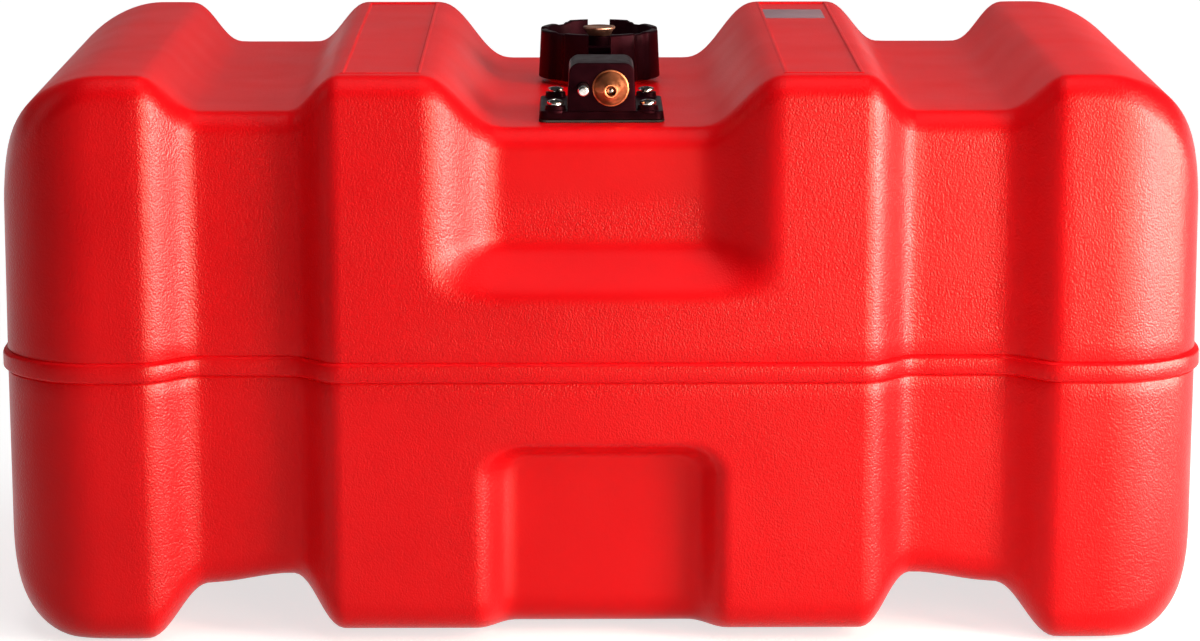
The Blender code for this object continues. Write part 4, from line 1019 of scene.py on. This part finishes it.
def valley(angle):
    """1 in the middle of a scallop between two lobes of the grip, 0 on a lobe; degrees from the front."""
    away = abs((angle + 22.5) % 45.0 - 22.5)
    return ramp(CAP_VALLEY_HALF_ANGLE - away, 0.0, CAP_VALLEY_HALF_ANGLE * 0.7)


def rim_height(angle):
    """Height of the cap's rim: two horns beside the rear slot, slightly lower beside the front one."""
    from_front = abs((angle + 180.0) % 360.0 - 180.0)
    rear = ramp(from_front, 180.0 - CAP_HORN_HALF_ANGLE - 2.0, 180.0 - CAP_HORN_HALF_ANGLE + 1.0)
    front = 1.0 - ramp(from_front, CAP_HORN_HALF_ANGLE, CAP_HORN_HALF_ANGLE + 7.0)
    return CAP_RIM_Z + CAP_HORN_RISE * rear - CAP_FRONT_DROP * front - CAP_VALLEY_DROP * valley(angle)


def cap_ring(radius, height, lobed=0.0, rim=False):
    """A ring round the cap; it follows the lobes by a share, and the rim's height if asked."""
    ring = []
    for step in range(CAP_STEPS):
        degrees = 360.0 * step / CAP_STEPS
        angle = math.radians(degrees - 90.0)
        reach = radius - CAP_VALLEY_DEPTH * lobed * valley(degrees)
        z = height + (rim_height(degrees) if rim else 0.0)
        ring.append((reach * math.cos(angle), NECK_Y + reach * math.sin(angle), z))
    return ring


def socket_ring(z):
    """A ring of the cap's threaded socket at one height."""
    ring = []
    inside = ramp(CAP_FLOOR_Z - 0.001 - z, 0.0, 0.001) * ramp(z - CAP_SKIRT_Z, 0.0008, 0.002)
    for step in range(CAP_STEPS):
        angle = math.tau * step / CAP_STEPS - math.pi / 2
        turn = (z / THREAD_PITCH - angle / math.tau + 0.5) % 1.0
        reach = CAP_SOCKET_RADIUS - 0.0010 * ramp(0.5 - abs(turn - 0.5), 0.26, 0.44) * inside
        ring.append((reach * math.cos(angle), NECK_Y + reach * math.sin(angle), z))
    return ring


def make_cap():
    """Filler cap: scalloped grip, deep cup, two slots, and a threaded socket under it."""
    top_radius = CAP_RADIUS - CAP_TOP_DRAFT
    skirt = [(CAP_RADIUS - 0.0008, CAP_SKIRT_Z), (CAP_RADIUS - 0.0002, CAP_SKIRT_Z + 0.0003)]
    skirt.append((CAP_RADIUS, CAP_SKIRT_Z + 0.0009))
    for share in (0.25, 0.5, 0.75):
        skirt.append((blend(CAP_RADIUS, top_radius, share), blend(CAP_SKIRT_Z, CAP_RIM_Z - 0.0012, share)))
    rim = [
        (top_radius, -0.0012, 1.0), (top_radius - 0.00015, -0.0006, 1.0),
        (top_radius - 0.0005, -0.00015, 1.0), (top_radius - 0.0011, 0.0, 1.0),
        (CAP_CUP_RADIUS + 0.0009, 0.0, 0.15), (CAP_CUP_RADIUS + 0.0003, -0.0002, 0.0),
        (CAP_CUP_RADIUS, -0.0008, 0.0),
    ]
    cup = [
        (CAP_CUP_RADIUS - 0.0003, CAP_CUP_Z + 0.0010), (CAP_CUP_RADIUS - 0.0006, CAP_CUP_Z + 0.0003),
        (CAP_CUP_RADIUS - 0.0013, CAP_CUP_Z), (HUB_FOOT_RADIUS + 0.0006, CAP_CUP_Z),
        (CAP_HOLE_RADIUS, CAP_CUP_Z), (CAP_HOLE_RADIUS, CAP_FLOOR_Z),
        (CAP_SOCKET_RADIUS - 0.0006, CAP_FLOOR_Z),
    ]
    rings = [cap_ring(radius, z, 1.0) for radius, z in skirt]
    rings += [cap_ring(radius, z, lobed, True) for radius, z, lobed in rim]
    rings += [cap_ring(radius, z) for radius, z in cup]
    rings += [socket_ring(z) for z in spread(CAP_FLOOR_Z - 0.0006, CAP_SKIRT_Z + 0.0008, -0.0005)]
    rings.append(cap_ring(CAP_SOCKET_RADIUS + 0.0006, CAP_SKIRT_Z))
    shape = bmesh.new()
    loops = loft(shape, rings)
    bridge(shape, [loops[-1], loops[0]])
    half = CAP_SLOT_WIDTH / 2
    low, high = CAP_CUP_Z + 0.0003, CAP_RIM_Z + 0.006
    front = box((-half, NECK_Y - 0.040, low), (half, NECK_Y - 0.020, high))
    rear = box((-half, NECK_Y + 0.020, low), (half, NECK_Y + 0.040, high))
    cap = worked("cap_grip", shape, [("DIFFERENCE", front), ("DIFFERENCE", rear)])
    dress(cap, BLACK_NYLON, "cap", ["filler_cap"])


def make_hub():
    """Stepped bush that carries the vent knob, with eased edges and its own bore."""
    outline = [
        (0.0028, HUB_TOP), (HUB_RADIUS, HUB_TOP), (HUB_RADIUS, HUB_FOOT_TOP), (HUB_FOOT_RADIUS, HUB_FOOT_TOP),
        (HUB_FOOT_RADIUS, HUB_Z), (0.0046, HUB_Z), (0.0046, HUB_Z + 0.0040), (0.0028, HUB_Z + 0.0040),
    ]
    shape = turned(eased(outline, 0.0005, 3), 64, (0.0, NECK_Y, 0.0))
    dress(new_object("vent_bush", shape), BLACK_NYLON, "cap", ["vent_hub"])


def make_knob():
    """The vent knob: a disc with a fine milled edge and a shallow dish, on a cone."""
    disc, top, socket = KNOB_DISC_Z, KNOB_DISC_Z + 0.0014, KNOB_Z + 0.0026
    outline = [
        (0.0, top - 0.00025), (0.0060, top - 0.00025), (0.0066, top - 0.00005), (0.0080, top),
        (0.0089, top - 0.00012), (KNOB_RADIUS, top - 0.0004), (KNOB_RADIUS, disc + 0.0004),
        (0.0089, disc + 0.0001), (0.0084, disc - 0.0002), (0.0066, KNOB_Z + 0.0002), (0.0064, KNOB_Z),
        (0.0027, KNOB_Z), (0.0027, socket), (0.0, socket),
    ]
    shape = turned(outline, 144, (0.0, NECK_Y, 0.0))
    for vert in shape.verts:
        level = Vector((vert.co.x, vert.co.y - NECK_Y, 0.0))
        if level.length > KNOB_RADIUS - 0.00005:
            angle = math.atan2(level.y, level.x)
            vert.co -= level.normalized() * 0.00012 * (1.0 + math.cos(KNOB_MILLING * angle)) / 2
    dress(new_object("vent_disc", shape), KNOB_COPPER, "vent", ["vent_knob"], 40.0)


def dress_carried_nodes():
    """Give each solid that stays its real finish."""
    finishes = (
        (SEAL_RUBBER, ("pickup_gasket", "nozzle_seal", "cap_gasket", "vent_seal")),
        (INSERT_BRASS, ("thread_insert_1", "thread_insert_2", "thread_insert_3", "thread_insert_4")),
        (KNOB_COPPER, ("vent_stem",)),
        (FUEL_HOSE, ("pickup_tube",)),
        (WHITE_ACETAL, ("pickup_strainer",)),
        (BLACK_NYLON, ("splash_disc",)),
    )
    for material, names in finishes:
        for name in names:
            for material_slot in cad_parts[name].material_slots:
                material_slot.material = material


def make_stage():
    """A white floor out to the horizon; it keeps the tank's shadow and whitens further away."""
    shape = bmesh.new()
    reach = 60.0
    corners = ((-reach, -reach, 0.0), (reach, -reach, 0.0), (reach, reach, 0.0), (-reach, reach, 0.0))
    shape.faces.new([shape.verts.new(corner) for corner in corners])
    floor = new_object("studio_floor", shape)
    values = {"Roughness": 0.9, "Specular IOR Level": 0.0, "Emission Color": linear("#FFFFFF")}
    material, tree, shader, place = new_material("painted_floor", values)
    mottle = add_node(tree, "TexNoise", values=cells(400), links={"Vector": place})
    pale = ramp_colours(tree, mottle.outputs["Fac"], ((0.3, "#CFCFCF"), (0.7, "#D4D4D4")))
    rays = add_node(tree, "LightPath").outputs
    seen = add_node(tree, "Math", LARGER, links={0: rays["Is Camera Ray"], 1: rays["Is Glossy Ray"]})
    shown = add_node(tree, "Math", LARGER, links={0: seen.outputs[0], 1: rays["Is Transmission Ray"]})
    away = add_node(tree, "VectorMath", LENGTH, links={0: place})
    whiter = span(tree, away.outputs["Value"], 0.9, 2.4, 0.70, 0.95)
    glow = add_node(tree, "Math", MULTIPLY, links={0: shown.outputs[0], 1: whiter})
    feed(tree, shader, {"Base Color": pale, "Emission Strength": glow.outputs[0]})
    floor.data.materials.append(material)


def make_world():
    """A dim, even surround."""
    world = bpy.data.worlds.new("studio")
    bpy.context.scene.world = world
    world.use_nodes = True
    surround = world.node_tree.nodes["Background"]
    surround.inputs["Color"].default_value = linear("#FFFFFF")
    surround.inputs["Strength"].default_value = 0.03


def add_lamp(name, at, aim, size, watts, colour="#FFFFFF", lights="both"):
    """A soft lamp aimed at a point, which gives highlights only, or none of them, if asked."""
    lamp = bpy.data.lights.new(name, "AREA")
    lamp.shape = "RECTANGLE"
    lamp.size, lamp.size_y = size
    lamp.energy = watts
    lamp.color = linear(colour)[:3]
    item = put(name, lamp)
    item.location = at
    item.rotation_euler = (Vector(aim) - Vector(at)).to_track_quat("-Z", "Y").to_euler()
    item.visible_glossy = lights != "plain"
    item.visible_diffuse = lights != "highlight"


def make_lights():
    """Warm lamps and their glints on the right, fills without highlights, a rim, and light from behind."""
    front, edge = (0.05, -0.10, 0.15), (0.15, -0.10, 0.15)
    middle, top = (0.00, 0.00, 0.12), (0.00, 0.00, 0.27)
    add_lamp("strip_right", (1.20, -0.80, 0.45), front, (0.42, 1.30), 27.0, "#FFF6DF")
    add_lamp("strip_glint", (1.20, -0.80, 0.21), front, (0.42, 0.42), 48.0, "#FFF4E6", "highlight")
    add_lamp("side_right", (1.45, -0.25, 0.45), front, (0.30, 1.20), 10.0, "#FFF6DC")
    add_lamp("side_glint", (1.45, -0.22, 0.21), front, (0.60, 0.42), 40.0, "#FFF2DE", "highlight")
    add_lamp("key_right", (0.85, -1.75, 0.60), edge, (0.50, 1.20), 6.4, "#FFF6DF")
    add_lamp("key_glint", (1.00, -1.75, 0.22), edge, (0.60, 0.44), 62.0, "#FFE6C4", "highlight")
    add_lamp("fill_front", (-0.30, -2.60, 1.40), middle, (2.00, 1.40), 0.6, "#FFFFFF", "plain")
    add_lamp("fill_above", (0.10, -0.20, 1.90), top, (1.60, 1.60), 19.5, "#FFFFFF", "plain")
    add_lamp("rim_left", (-1.30, 0.10, 0.45), (-0.25, 0.00, 0.15), (0.30, 1.00), 0.9, "#FFF8F8")
    add_lamp("low_rear", (0.00, 2.10, 0.80), top, (2.60, 0.50), 1.5)
    add_lamp("overhead", (0.00, 0.00, 1.80), top, (1.60, 1.00), 0.7)


def make_camera():
    """The camera at the photograph's place and angle."""
    camera = bpy.data.cameras.new("photo_camera")
    camera.sensor_width = SENSOR_WIDTH
    camera.lens = FOCAL_PIXELS * SENSOR_WIDTH / PHOTO_WIDTH
    camera.clip_start = 0.05
    item = put("photo_camera", camera)
    item.location = CAMERA_PLACE
    item.rotation_euler = (math.radians(90.0 - CAMERA_PITCH), 0.0, math.radians(CAMERA_YAW))
    bpy.context.scene.camera = item


make_tank_skin()
make_foil_label()
make_head()
make_screw("front_left", 1, -SCREW_X, HEAD_Y - SCREW_Y, 0.5)
make_screw("front_right", 2, SCREW_X, HEAD_Y - SCREW_Y, 1.2)
make_screw("rear_left", 3, -SCREW_X, HEAD_Y + SCREW_Y, 0.1)
make_screw("rear_right", 4, SCREW_X, HEAD_Y + SCREW_Y, 0.9)
make_nozzle()
make_ball()
make_spring()
make_pin()
make_cap()
make_hub()
make_knob()
dress_carried_nodes()
make_stage()
make_world()
make_lights()
make_camera()
bpy.context.scene.view_settings.view_transform = "Standard"
